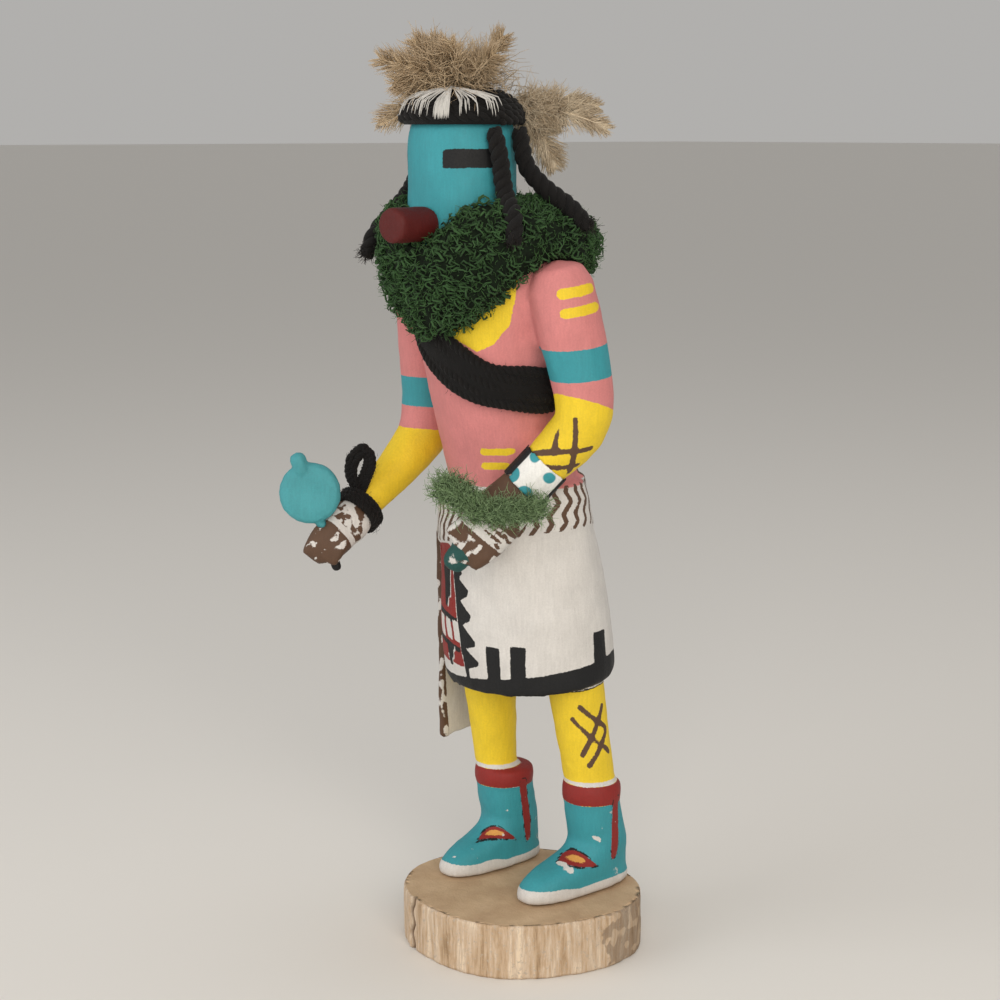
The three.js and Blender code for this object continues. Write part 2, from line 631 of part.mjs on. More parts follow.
function crownFeathers() {
  const root = [MIDLINE, MASK.y, HAIR.top + 1.6];
  const core = { wide: 8.5, deep: 8.5 };
  const tuft = stack([
    { ...core, y: MASK.y, z: 259.5 }, { wide: 9, deep: 9, y: MASK.y, z: 264.5 }, { wide: 5, deep: 5, y: MASK.y, z: 269.5 },
  ], 4, 14);
  const fan = CROWN_FAN.map(([turn, reach, rise, half]) => {
    const aside = Math.sin(radians(turn));
    const ahead = -Math.cos(radians(turn));
    const tip = [root[0] + reach * aside, root[1] + reach * ahead, 259.6 + rise];
    const share = 0.55;
    const lift = 0.4 * rise;
    const bend = [root[0] + reach * share * aside, root[1] + reach * share * ahead, 262.5 + lift];
    return feather(root, bend, tip, half, 2);
  });
  return joined([tuft, ...fan]);
}

const BACK_FAN = [
  [[-3.2, -1.4, 257], [6.5, 9.5, 257.6], [14.4, 19.6, 251.2], 5.4],
  [[-3.2, -1.4, 257], [1.5, 11, 260], [8, 22.4, 257.4], 5],
  [[-3.2, -1.4, 256], [1.6, 6, 249], [3.4, 9.4, 239.5], 5.6],
  [[-3.2, -1.4, 256], [-6, 9, 256], [-5.6, 19, 252], 4.6],
];

function backFeathers() {
  return joined(BACK_FAN.map(([root, bend, tip, half]) => feather(root, bend, tip, half, 1.8)));
}

// Small white feathers laid over the hair: [degrees from the front, half width], all from one root.
const FOREHEAD_FAN = [[34, 2.8], [-2, 1.6], [14, 1.8], [60, 1.8], [78, 2]];

function foreheadFeathers() {
  const out = 1.3;
  const blades = FOREHEAD_FAN.map(([turn, half]) => {
    const place = (angle, climb) => {
      const size = (HAIR.radius + out) * Math.cos(radians(climb)) ** 0.6;
      const z = HAIR.bottom + 1.2 + (HAIR.top - HAIR.bottom - 1.2 + out) * Math.sin(radians(climb));
      return [MIDLINE + size * Math.sin(radians(angle)), MASK.y - size * Math.cos(radians(angle)), z];
    };
    const points = [[38, 66], [(38 + turn) / 2, 48], [turn, 26], [turn, 6]].map(([angle, climb]) => place(angle, climb));
    const stations = points.map((point, k) => [...point, 0.55, half * [0.7, 0.8, 1, 0.75][k]]);
    const hub = vec(MIDLINE, MASK.y, HAIR.bottom - 4);
    const face = (t) => vec(...points[Math.round(t * 3)]).sub(hub);
    return sweep(stations, { steps: 3, sides: 6, face, bulge: 0.4 });
  });
  return joined(blades);
}

// ---------------------------------------------------------------------------
// The scene graph: one mesh for each piece, every piece cut clear of what carries it
// ---------------------------------------------------------------------------

const figureTool = carvedFigure(FIT_GAP);
const hairTools = [hairCap(FIT_GAP), ...Object.keys(BRAIDS).map((name) => braid(name, FIT_GAP))];
const bandTool = bandolier(FIT_GAP);
const snoutTool = snout(FIT_GAP);
const guardTool = bowGuard(FIT_GAP);

const PIECES = [
  ['base_slab', baseSlab(), '#a98d6c', 0.85],
  ['carved_figure', carvedFigure().subtract(rattleStick(FIT_GAP)), '#c9c4bb', 0.8],
  ['snout_tube', snout().subtract(figureTool), '#8f2a2a', 0.6],
  ['gourd_rattle', rattle(), '#2f8f92', 0.75],
  ['bow_guard', bowGuard().subtract(figureTool), '#e8e6e2', 0.7],
  ['evergreen_yarn', cutBy(evergreen(), [figureTool, guardTool]), '#3f6b45', 0.95],
  ['wrist_yarn', cutBy(wristYarn(), [figureTool, rattle(FIT_GAP)]), '#16130f', 0.95],
  ['bandolier', bandolier().subtract(figureTool), '#15110f', 0.95],
  ['yarn_ruff', cutBy(ruff(), [figureTool, bandTool, snoutTool, ...hairTools]), '#1f5a30', 0.95],
  ['hair_cap', hairCap().subtract(figureTool), '#141110', 0.95],
  ...Object.keys(BRAIDS).map((name) => [name, cutBy(braid(name), [figureTool, hairTools[0]]), '#141110', 0.95]),
  ['crown_feathers', cutBy(crownFeathers(), [figureTool, ...hairTools]), '#a08868', 0.9],
  ['forehead_feathers', cutBy(foreheadFeathers(), [figureTool, ...hairTools]), '#dcdad6', 0.9],
  ['back_feathers', cutBy(backFeathers(), [figureTool, ...hairTools]), '#a89880', 0.9],
];

function meshOf(name, solid, color, roughness) {
  const { vertProperties, triVerts } = solid.getMesh();
  const geometry = new THREE.BufferGeometry();
  geometry.setAttribute('position', new THREE.BufferAttribute(new Float32Array(vertProperties), 3));
  geometry.setIndex(new THREE.BufferAttribute(new Uint32Array(triVerts), 1));
  geometry.computeVertexNormals();
  const mesh = new THREE.Mesh(geometry, new THREE.MeshStandardMaterial({ color, roughness, metalness: 0 }));
  mesh.name = name;
  return mesh;
}

const doll = new THREE.Group();
PIECES.forEach(([name, solid, color, roughness]) => doll.add(meshOf(name, solid, color, roughness)));

export default doll;
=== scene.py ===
"""A carved and painted kachina doll: the dressed, shown pieces over the frame of solids."""

import math

import bpy
import numpy as np
from bpy.props import FloatProperty, FloatVectorProperty, IntProperty, PointerProperty
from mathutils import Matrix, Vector
from mathutils.bvhtree import BVHTree


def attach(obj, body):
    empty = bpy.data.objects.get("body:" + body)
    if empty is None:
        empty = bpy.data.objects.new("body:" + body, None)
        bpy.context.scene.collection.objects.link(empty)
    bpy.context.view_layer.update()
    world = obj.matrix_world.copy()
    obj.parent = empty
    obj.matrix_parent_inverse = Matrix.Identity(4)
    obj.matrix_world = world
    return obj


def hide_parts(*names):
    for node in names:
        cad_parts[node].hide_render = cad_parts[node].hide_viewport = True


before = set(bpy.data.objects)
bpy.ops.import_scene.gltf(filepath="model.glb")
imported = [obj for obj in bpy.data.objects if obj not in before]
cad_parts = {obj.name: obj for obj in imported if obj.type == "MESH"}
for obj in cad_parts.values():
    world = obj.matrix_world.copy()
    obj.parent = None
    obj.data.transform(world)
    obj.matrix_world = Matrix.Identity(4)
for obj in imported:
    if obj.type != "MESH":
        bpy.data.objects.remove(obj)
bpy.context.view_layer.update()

bl_info = {
    "name": "Kachina doll",
    "version": (1, 0, 0),
    "blender": (4, 5, 0),
    "location": "3D View > Sidebar > Doll",
    "description": "Builds a carved, painted and dressed kachina doll over its solids",
    "category": "Object",
}

MM = 0.001  # sizes below are in millimetres, and Blender's are in metres


# ---------------------------------------------------------------------------
# Colours and sizes that a user would change
# ---------------------------------------------------------------------------

def linear(code):
    """The linear colour of an sRGB hex value such as '#3e9aa0'."""
    parts = [int(code[k:k + 2], 16) / 255 for k in (1, 3, 5)]
    return tuple(c / 12.92 if c <= 0.04045 else ((c + 0.055) / 1.055) ** 2.4 for c in parts)


def colour(name, description, code):
    """A colour property with its default."""
    return FloatVectorProperty(
        name=name, description=description, subtype="COLOR", size=3, min=0, max=1, default=linear(code))


def length(name, description, millimetres):
    """A length property with its default, in metres."""
    return FloatProperty(name=name, description=description, unit="LENGTH", precision=5, default=millimetres * MM)


class DollPaint(bpy.types.PropertyGroup):
    """The acrylic paints on the carving."""

    pink: colour("Skin pink", "Body paint of the chest and upper arms", "#cf8180")
    yellow: colour("Yellow", "Paint of the forearms, legs and chest patch", "#e8c82c")
    turquoise: colour("Turquoise", "Paint of the mask, armbands, boots and rattle", "#38939e")
    white: colour("White", "Paint of the kilt, belt, sash and soles", "#d2cfcb")
    black: colour("Black", "Paint of the kilt border and the eyes", "#121315")
    red: colour("Red", "Paint of the boot cuffs, stripes and the snout", "#8a2622")
    brown: colour("Brown", "Paint of the marks, the gloves and the sash edge", "#5a4232")
    teal: colour("Dark teal", "Paint of the sprig's carved end", "#1f4f4b")
    orange: colour("Orange", "Paint inside the shoe openings", "#d79a4e")


class DollSizes(bpy.types.PropertyGroup):
    """Sizes of the carving, the yarns and the feathers."""

    voxel: length("Carving grid", "Spacing of the carved figure's surface points", 0.95)
    knife: length("Knife marks", "Depth of the uneven carved surface", 0.16)
    curl: length("Wool curl", "Radius of one curl of the ruff's wool", 1.5)
    ply: length("Yarn ply", "Radius of one ply of the hair yarn", 1.42)
    strand: length("Bandolier strand", "Radius of one strand of the bandolier", 1.7)
    barb: length("Feather barb", "Radius of a feather barb at its root", 0.14)
    curls: IntProperty(name="Curls", description="How many curls of wool the ruff has", default=1600, min=100)
    fuzz: IntProperty(name="Fuzz", description="How many loose fibres the ruff has", default=4200, min=0)


# ---------------------------------------------------------------------------
# Points, noise and distances, all in millimetres on arrays of points
# ---------------------------------------------------------------------------

def unit(v):
    """v with length 1 along its last axis."""
    v = np.asarray(v, float)
    return v / np.maximum(np.linalg.norm(v, axis=-1, keepdims=True), 1e-9)


def grain(points, size, seed):
    """Smooth random values from -1 to 1 that change over `size` millimetres."""
    q = points / np.asarray(size, float)
    cell = np.floor(q).astype(np.int64)
    part = q - cell
    part = part * part * (3 - 2 * part)
    table = np.random.default_rng(seed).uniform(-1, 1, 4096)
    total = np.zeros(len(points))
    for corner in np.ndindex(2, 2, 2):
        step = cell + corner
        index = (step[:, 0] * 73856093) ^ (step[:, 1] * 19349663) ^ (step[:, 2] * 83492791)
        share = np.prod(np.where(corner, part, 1 - part), axis=1)
        total += table[index & 4095] * share
    return total


def curve(rows, count, closed=False):
    """`count` points on a smooth curve through `rows`, which may have any number of columns."""
    rows = np.asarray(rows, float)
    if closed:
        rows = np.vstack([rows[-1:], rows, rows[:2]])
    else:
        rows = np.vstack([2 * rows[0] - rows[1], rows, 2 * rows[-1] - rows[-2]])
    spans = len(rows) - 3
    t = np.linspace(0, spans, count, endpoint=not closed)
    k = np.minimum(t.astype(int), spans - 1)
    u = (t - k)[:, None]
    a, b, c, d = rows[k], rows[k + 1], rows[k + 2], rows[k + 3]
    return 0.5 * (2 * b + (c - a) * u + (2 * a - 5 * b + 4 * c - d) * u ** 2 + (3 * b - a - 3 * c + d) * u ** 3)


def to_segment(p, a, b, ra, rb=None):
    """Distance from the points to a tapering rod between a and b."""
    a, b = np.asarray(a, float), np.asarray(b, float)
    rb = ra if rb is None else rb
    along = b - a
    t = np.clip((p - a) @ along / max(along @ along, 1e-9), 0, 1)
    return np.linalg.norm(p - a - t[:, None] * along, axis=1) - (ra + (rb - ra) * t)


def to_path(p, rows, radius=None):
    """Distance to a chain of rods. A row is [x, y, z] with one radius for all, or [x, y, z, radius]."""
    best = np.full(len(p), 1e3)
    for a, b in zip(rows[:-1], rows[1:]):
        ends = (radius, radius) if radius is not None else (a[3], b[3])
        best = np.minimum(best, to_segment(p, a[:3], b[:3], *ends))
    return best


def to_polygon(u, v, corners):
    """Signed distance to a flat polygon: negative inside."""
    p = np.column_stack([u, v])
    corners = np.asarray(corners, float)
    best = np.full(len(p), 1e6)
    inside = np.zeros(len(p), bool)
    for a, b in zip(corners, np.roll(corners, -1, axis=0)):
        along = b - a
        t = np.clip((p - a) @ along / max(along @ along, 1e-9), 0, 1)
        best = np.minimum(best, np.linalg.norm(p - a - t[:, None] * along, axis=1))
        crosses = (a[1] > p[:, 1]) != (b[1] > p[:, 1])
        rise = b[1] - a[1] if abs(b[1] - a[1]) > 1e-9 else 1e-9
        inside ^= crosses & (p[:, 0] < a[0] + (p[:, 1] - a[1]) / rise * along[0])
    return np.where(inside, -best, best)


def nearest(*fields):
    """The union of several distance fields."""
    return np.minimum.reduce(fields)


def overlap(*fields):
    """The part that several distance fields share."""
    return np.maximum.reduce(fields)


# ---------------------------------------------------------------------------
# Meshes and pieces
# ---------------------------------------------------------------------------

def make_mesh(name, points, faces, values=None):
    """A smooth-shaded mesh object from points in millimetres, with named values on its points."""
    mesh = bpy.data.meshes.new(name)
    mesh.from_pydata((np.asarray(points) * MM).tolist(), [], faces)
    mesh.validate()
    mesh.polygons.foreach_set("use_smooth", [True] * len(mesh.polygons))
    for key, data in (values or {}).items():
        layer = mesh.attributes.new(key, "FLOAT", "POINT")
        layer.data.foreach_set("value", np.asarray(data, np.float32))
    mesh.update()
    piece = bpy.data.objects.new(name, mesh)
    bpy.context.scene.collection.objects.link(piece)
    return piece


def finish_piece(piece, material, nodes):
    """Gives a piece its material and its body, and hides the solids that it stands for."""
    piece.data.materials.clear()
    piece.data.materials.append(material)
    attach(piece, "root")
    if nodes:
        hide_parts(*nodes)
    return piece


def tubes(paths, radii, sides, shades=None):
    """Points, faces and values of many closed tubes. paths is (tubes, stations, 3), radii fits it."""
    paths = np.asarray(paths, float)
    count, steps, _ = paths.shape
    radii = np.broadcast_to(np.asarray(radii, float), (count, steps))
    tangent = unit(np.gradient(paths, axis=1))
    normal = np.zeros_like(paths)
    helper = np.where(np.abs(tangent[:, 0, 2:3]) > 0.8, [[1.0, 0, 0]], [[0, 0, 1.0]])
    normal[:, 0] = unit(np.cross(tangent[:, 0], helper))
    for k in range(1, steps):
        turned = normal[:, k - 1] - (normal[:, k - 1] * tangent[:, k]).sum(1, keepdims=True) * tangent[:, k]
        normal[:, k] = unit(turned)
    side = np.cross(tangent, normal)
    angle = np.arange(sides) / sides * 2 * np.pi
    ring = normal[:, :, None] * np.cos(angle)[:, None] + side[:, :, None] * np.sin(angle)[:, None]
    points = paths[:, :, None] + ring * radii[:, :, None, None]
    start = (np.arange(count) * steps * sides)[:, None, None]
    row = (np.arange(steps - 1) * sides)[None, :, None]
    here = np.arange(sides)[None, None, :]
    after = (here + 1) % sides
    quads = np.stack([start + row + here, start + row + after, start + row + after + sides,
                      start + row + here + sides], axis=-1).reshape(-1, 4)
    head = (np.arange(count) * steps * sides)[:, None] + np.arange(sides)[None, ::-1]
    tail = (np.arange(count) * steps * sides + (steps - 1) * sides)[:, None] + np.arange(sides)[None, :]
    faces = quads.tolist() + head.tolist() + tail.tolist()
    shades = np.full(count, 0.5) if shades is None else np.asarray(shades, float)
    values = {
        "shade": np.repeat(shades, steps * sides),
        "along": np.tile(np.repeat(np.linspace(0, 1, steps), sides), count),
    }
    return points.reshape(-1, 3), faces, values


def together(*parts):
    """Several (points, faces, values) as one."""
    points, faces, values, offset = [], [], {}, 0
    for p, f, v in parts:
        points.append(p)
        faces += [[i + offset for i in face] for face in f]
        for key, data in v.items():
            values.setdefault(key, []).append(data)
        offset += len(p)
    return np.vstack(points), faces, {key: np.concatenate(data) for key, data in values.items()}


def solid_of(name):
    """The points and triangles of a CAD solid, in millimetres."""
    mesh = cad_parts[name].data
    mesh.calc_loop_triangles()
    points = np.empty(len(mesh.vertices) * 3)
    mesh.vertices.foreach_get("co", points)
    triangles = np.empty(len(mesh.loop_triangles) * 3, np.int32)
    mesh.loop_triangles.foreach_get("vertices", triangles)
    return points.reshape(-1, 3) / MM, triangles.reshape(-1, 3)


def regrid(name, node, spacing, smoothing=0):
    """A piece with the solid's surface on an even grid, its points in millimetres and their outward directions."""
    points, triangles = solid_of(node)
    piece = make_mesh(name, points, triangles.tolist())
    remesh = piece.modifiers.new("grid", "REMESH")
    remesh.mode = "VOXEL"
    remesh.voxel_size = spacing
    if smoothing:
        soften = piece.modifiers.new("soften", "SMOOTH")
        soften.factor = 0.5
        soften.iterations = smoothing
    mesh = bpy.data.meshes.new_from_object(piece.evaluated_get(bpy.context.evaluated_depsgraph_get()))
    if len(mesh.vertices) < 1000:
        raise RuntimeError(f"{name} came out empty")
    piece.modifiers.clear()
    piece.data = mesh
    mesh.polygons.foreach_set("use_smooth", [True] * len(mesh.polygons))
    skin, normals = np.empty(len(mesh.vertices) * 3), np.empty(len(mesh.vertices) * 3)
    mesh.vertices.foreach_get("co", skin)
    mesh.vertices.foreach_get("normal", normals)
    return piece, skin.reshape(-1, 3) / MM, normals.reshape(-1, 3)


def move_points(piece, points):
    """Gives the piece's points new places, in millimetres."""
    piece.data.vertices.foreach_set("co", (points * MM).ravel())
    piece.data.update()


def painted_shade_core(name, shade, points=None):
    """A solid under the strands laid over it, toned dark as painted shade in the gaps between them."""
    own, triangles = solid_of(name)
    points = own if points is None else points
    return points, triangles.tolist(), {"shade": np.full(len(points), shade), "along": np.zeros(len(points))}


def scatter(name, count, rng, clear_of=None, margin=1.3):
    """Random points on a solid's outer skin with their outward directions, in millimetres."""
    points, triangles = solid_of(name)
    a, b, c = (points[triangles[:, k]] for k in range(3))
    cross = np.cross(b - a, c - a)
    area = np.linalg.norm(cross, axis=1)
    outward = cross / np.maximum(area[:, None], 1e-9)
    if clear_of:
        shell, shell_triangles = solid_of(clear_of)
        tree = BVHTree.FromPolygons(shell.tolist(), shell_triangles.tolist())
        centres = (a + b + c) / 3 + outward * 0.4
        free = np.array([(tree.find_nearest(Vector(q))[3] or 9) > margin for q in centres])
        area = area * free
    pick = rng.choice(len(area), count, p=area / area.sum())
    u, v = rng.random(count), rng.random(count)
    flip = u + v > 1
    u[flip], v[flip] = 1 - u[flip], 1 - v[flip]
    spots = a[pick] + u[:, None] * (b - a)[pick] + v[:, None] * (c - a)[pick]
    return spots, outward[pick]


def hairs(roots, directions, lengths, rng, wander=0.35, stations=4, thick=0.09, sides=3, droop=0.0):
    """Thin tapering fibres that wander as they grow."""
    steps = [roots]
    heading = unit(directions)
    stride = (np.asarray(lengths) / (stations - 1))[:, None]
    for _ in range(stations - 1):
        heading = unit(heading + rng.normal(0, wander, heading.shape) + [0, 0, -droop])
        steps.append(steps[-1] + heading * stride)
    taper = np.linspace(1, 0.35, stations)
    radii = np.asarray(thick).reshape(-1, 1) * taper
    return tubes(np.stack(steps, axis=1), radii, sides, rng.random(len(roots)))


# ---------------------------------------------------------------------------
# Shaders
# ---------------------------------------------------------------------------

def add(tree, kind, settings=None, **inputs):
    """Adds a node with its settings. An input is a value or another node's socket."""
    node = tree.nodes.new(kind)
    for key, value in (settings or {}).items():
        setattr(node, key, value)
    for key, value in inputs.items():
        socket = node.inputs[int(key[1:])] if key[0] == "i" and key[1:].isdigit() else node.inputs[key.replace("_",
                " ")]
        if isinstance(value, bpy.types.NodeSocket):
            tree.links.new(value, socket)
        else:
            socket.default_value = value
    return node


def stored(tree, name):
    """A value that the mesh keeps on its points."""
    return add(tree, "ShaderNodeAttribute", {"attribute_name": name}).outputs["Fac"]


def noise(tree, place, size, detail, roughness=0.5):
    """Noise whose patches are about `size` millimetres wide."""
    return add(tree, "ShaderNodeTexNoise", Vector=place, Scale=1 / size, Detail=detail,
               Roughness=roughness).outputs["Fac"]


def remap(tree, value, low, high, to_low=0.0, to_high=1.0):
    """A value moved from one range to another, and held within it."""
    node = add(tree, "ShaderNodeMapRange", Value=value, From_Min=low, From_Max=high, To_Min=to_low, To_Max=to_high)
    return node.outputs[0]


def blend(tree, share, under, over):
    """One colour over another by a share from 0 to 1."""
    return add(tree, "ShaderNodeMix", {"data_type": "RGBA"}, i0=share, i6=under, i7=over).outputs[2]


def maths(tree, operation, *values):
    """A sum, product or the like of values and sockets."""
    inputs = {f"i{k}": value for k, value in enumerate(values)}
    return add(tree, "ShaderNodeMath", {"operation": operation}, **inputs).outputs[0]


def new_material(name):
    """An empty node material with its shader and the object's own coordinates in millimetres."""
    material = bpy.data.materials.new(name)
    material.use_nodes = True
    tree = material.node_tree
    shader = tree.nodes["Principled BSDF"]
    place = add(tree, "ShaderNodeTexCoord").outputs["Object"]
    place = add(tree, "ShaderNodeVectorMath", {"operation": "SCALE"}, i0=place, Scale=1000.0).outputs[0]
    return material, tree, shader, place


def rgba(value):
    """A colour with full alpha."""
    return (*value[:3], 1.0)


def fibre_material(name, dark, light, tip, roughness=0.9, sheen=0.0, mottle=3.0):
    """Loose fibres: each strand has its own tone, and tips fade towards `tip`."""
    material, tree, shader, place = new_material(name)
    shade = stored(tree, "shade")
    along = stored(tree, "along")
    patch = noise(tree, place, mottle, 2.0)
    tone = maths(tree, "ADD", shade, patch)
    tone = remap(tree, tone, 0.35, 1.3)
    base = blend(tree, tone, rgba(dark), rgba(light))
    end = maths(tree, "POWER", along, 2.0)
    base = blend(tree, end, base, rgba(tip))
    tree.links.new(base, shader.inputs["Base Color"])
    shader.inputs["Roughness"].default_value = roughness
    shader.inputs["Specular IOR Level"].default_value = 0.25
    shader.inputs["Sheen Weight"].default_value = sheen
    return material


def yarn_material(name, dark, light, roughness=0.85, fibre=0.35):
    """Spun wool yarn: fine fibres lie along the strand and catch a soft light."""
    material, tree, shader, place = new_material(name)
    shade = stored(tree, "shade")
    hair = noise(tree, place, fibre, 3.0, 0.7)
    patch = noise(tree, place, 2.5, 1.0)
    tone = maths(tree, "MULTIPLY", hair, patch)
    tone = maths(tree, "MULTIPLY_ADD", shade, 0.25, tone)
    tone = remap(tree, tone, 0.2, 0.75)
    base = blend(tree, tone, rgba(dark), rgba(light))
    tree.links.new(base, shader.inputs["Base Color"])
    bump = add(tree, "ShaderNodeBump", Height=hair, Strength=0.9, Distance=0.00025).outputs[0]
    tree.links.new(bump, shader.inputs["Normal"])
    shader.inputs["Roughness"].default_value = roughness
    shader.inputs["Specular IOR Level"].default_value = 0.3
    shader.inputs["Sheen Weight"].default_value = 0.04
    shader.inputs["Sheen Roughness"].default_value = 0.5
    return material


def brushed_paint(tree, shader, place, base, bump=0.5, grey=0.10):
    """Matt acrylic brushed on carved root wood: streaks, a fine grain, faint dirt and pin-holes."""
    # Brush hairs leave streaks about 0.5 mm apart, and the wood's pores show as specks of about 0.3 mm.
    broad = noise(tree, place, 9.0, 3.0)
    fine = noise(tree, place, 0.55, 3.0, 0.65)
    squeeze = add(tree, "ShaderNodeVectorMath", {"operation": "MULTIPLY"}, i0=place, i1=(1.0, 1.0, 0.12)).outputs[0]
    streak = noise(tree, squeeze, 0.7, 2.0)
    dirt = remap(tree, broad, 0.35, 0.75, 1.0, 1 - grey)
    speck = remap(tree, fine, 0.3, 0.7, 0.93, 1.05)
    line = remap(tree, streak, 0.3, 0.7, 0.96, 1.04)
    level = maths(tree, "MULTIPLY", dirt, speck)
    level = maths(tree, "MULTIPLY", level, line)
    toned = add(tree, "ShaderNodeVectorMath", {"operation": "SCALE"}, i0=base, Scale=level).outputs[0]
    tree.links.new(toned, shader.inputs["Base Color"])
    height = maths(tree, "MULTIPLY_ADD", streak, 0.6, fine)
    normal = add(tree, "ShaderNodeBump", Height=height, Strength=bump, Distance=0.00016).outputs[0]
    tree.links.new(normal, shader.inputs["Normal"])
    rough = remap(tree, fine, 0.3, 0.7, 0.55, 0.72)
    tree.links.new(rough, shader.inputs["Roughness"])
    shader.inputs["Specular IOR Level"].default_value = 0.35


def plain_paint(name, value, bump=0.5):
    """Matt acrylic of one colour on wood."""
    material, tree, shader, place = new_material(name)
    base = add(tree, "ShaderNodeRGB")
    base.outputs[0].default_value = rgba(value)
    brushed_paint(tree, shader, place, base.outputs[0], bump)
    return material


# ---------------------------------------------------------------------------
# The carved figure and its painted pattern
# ---------------------------------------------------------------------------

MIDLINE = -8.8
SLAB_TOP = 17.0
MASK_AXIS = (MIDLINE, -16.3)

# Middle lines of the limbs, with their radii.
LEFT_ARM = [
    (22.8, -5.6, 207, 9.7), (23.8, -4.0, 198, 10), (25.0, -2.3, 189.9, 9.7), (26.1, -1.0, 182, 9.2),
    (26.9, 0.0, 174.6, 8.8), (26.2, 0.0, 167.2, 8.5), (22.6, -2.8, 161.2, 8.1), (18.2, -6.9, 155, 7.1),
    (14.6, -11.1, 149.2, 6.2),
]
LEFT_HAND = [(14.9, -10.8, 149.6, 6.0), (9.2, -18.4, 138.8, 8.2), (4.9, -24, 130.6, 8.0), (0.9, -27.2, 125.6, 4.5)]
RIGHT_ARM = [
    (-40, -5.2, 207, 9.7), (-41, -4.4, 193, 9.7), (-41.6, -3.4, 179, 9.3), (-42, -3, 167, 8.8),
    (-42.2, -5, 157.4, 8.1), (-42, -12.4, 149.8, 7.2), (-41.2, -21.6, 142.9, 6.1), (-40.4, -30.4, 136.8, 5.0),
]
RIGHT_HAND = [(-40, -34.6, 133.9, 6.6), (-39.5, -39.4, 130.5, 6.0), (-40.2, -45.2, 126.4, 6.3),
              (-40.8, -47.6, 124.7, 5)]

# Sections of the torso: [y of the middle, height, half width, half depth].
TORSO = [
    (3.4, 137, 21.4, 18), (2.4, 148, 20.9, 17.8), (0.6, 158, 21.6, 19.2), (-1.1, 168, 22, 20.3),
    (-2.7, 178, 22.8, 21),
    (-4.6, 189, 24.6, 20.8), (-6.4, 199, 27.6, 18.4), (-7.6, 207, 29.2, 15), (-8.6, 213, 27, 11.6),
    (-9.4, 216.6, 20, 9),
]


def around(p, cx, cy):
    """Degrees round an upright axis, from straight ahead towards the doll's left."""
    return np.degrees(np.arctan2(p[:, 0] - cx, -(p[:, 1] - cy)))


def tilted(p, height, side, back, y=10.3):
    """How far the points are above a plane that rises by `side` and `back` per millimetre."""
    return p[:, 2] - (height + side * (p[:, 0] - MIDLINE) + back * (p[:, 1] - y))


def torso_field(p):
    """Rough distance to the torso's skin."""
    y, _, wide, deep = (np.interp(p[:, 2], [s[1] for s in TORSO], [s[k] for s in TORSO]) for k in range(4))
    ratio = np.hypot((p[:, 0] - MIDLINE) / wide, (p[:, 1] - y) / deep)
    return (ratio - 1) * np.minimum(wide, deep)


def boot_marks(p, lift, turn, x, y, radius, foot, tongue):
    """Distances to one boot's cuff, stripe, shoe opening, its inside, and its rim."""
    cuff_low, cuff_high = lift
    cuff = overlap(cuff_low - p[:, 2], p[:, 2] - cuff_high - 0.4)
    rim = p[:, 2] - cuff_high - 0.4
    beside = np.radians(turn)
    out = np.array([np.sin(beside), -np.cos(beside)])
    top = (x + out[0] * radius, y + out[1] * radius, cuff_low + 1)
    stripe = to_segment(p, top, foot, 1.5)
    middle, slope, bow = tongue
    q = p - np.array(middle)
    across = q @ [0.7, 0.714, 0]
    line = q[:, 2] + slope * across + bow * across ** 2
    oval = overlap(np.abs(line) - 1.6 * (1 - (across / 6.4) ** 2), -5 - q @ [0.714, -0.7, 0])
    inside = overlap(oval + 0.65, across - 2.6)
    return cuff, stripe, oval, inside, rim


def belt_waves(p):
    """The belt's wavy upright lines, which lean back as they rise."""
    turn = around(p, MIDLINE, 3.5)
    rise = tilted(p, 128.8, 0.17, 0.02, 3.5)
    wave = [(0, -0.5), (6.0, 2.8), (4.0, 5.4), (11.5, 9.0), (8.0, 12.0), (12.0, 14.6)]
    best = np.full(len(p), 1e3)
    for start in range(-180, 180, 10):
        here = to_path(np.column_stack([(turn - start) * 0.42, rise, np.zeros(len(p))]),
                       [(a * 0.42, b, 0) for a, b in wave], 0.72)
        best = np.minimum(best, here)
    return best


def hand_marks(p, wrist, tip, outward):
    """Measures along a hand, across it and outward from it."""
    along = unit(np.subtract(tip, wrist))
    outward = unit(outward - np.dot(outward, along) * along)
    across = np.cross(along, outward)
    q = p - np.array(wrist)
    return q @ along, q @ across, q @ outward


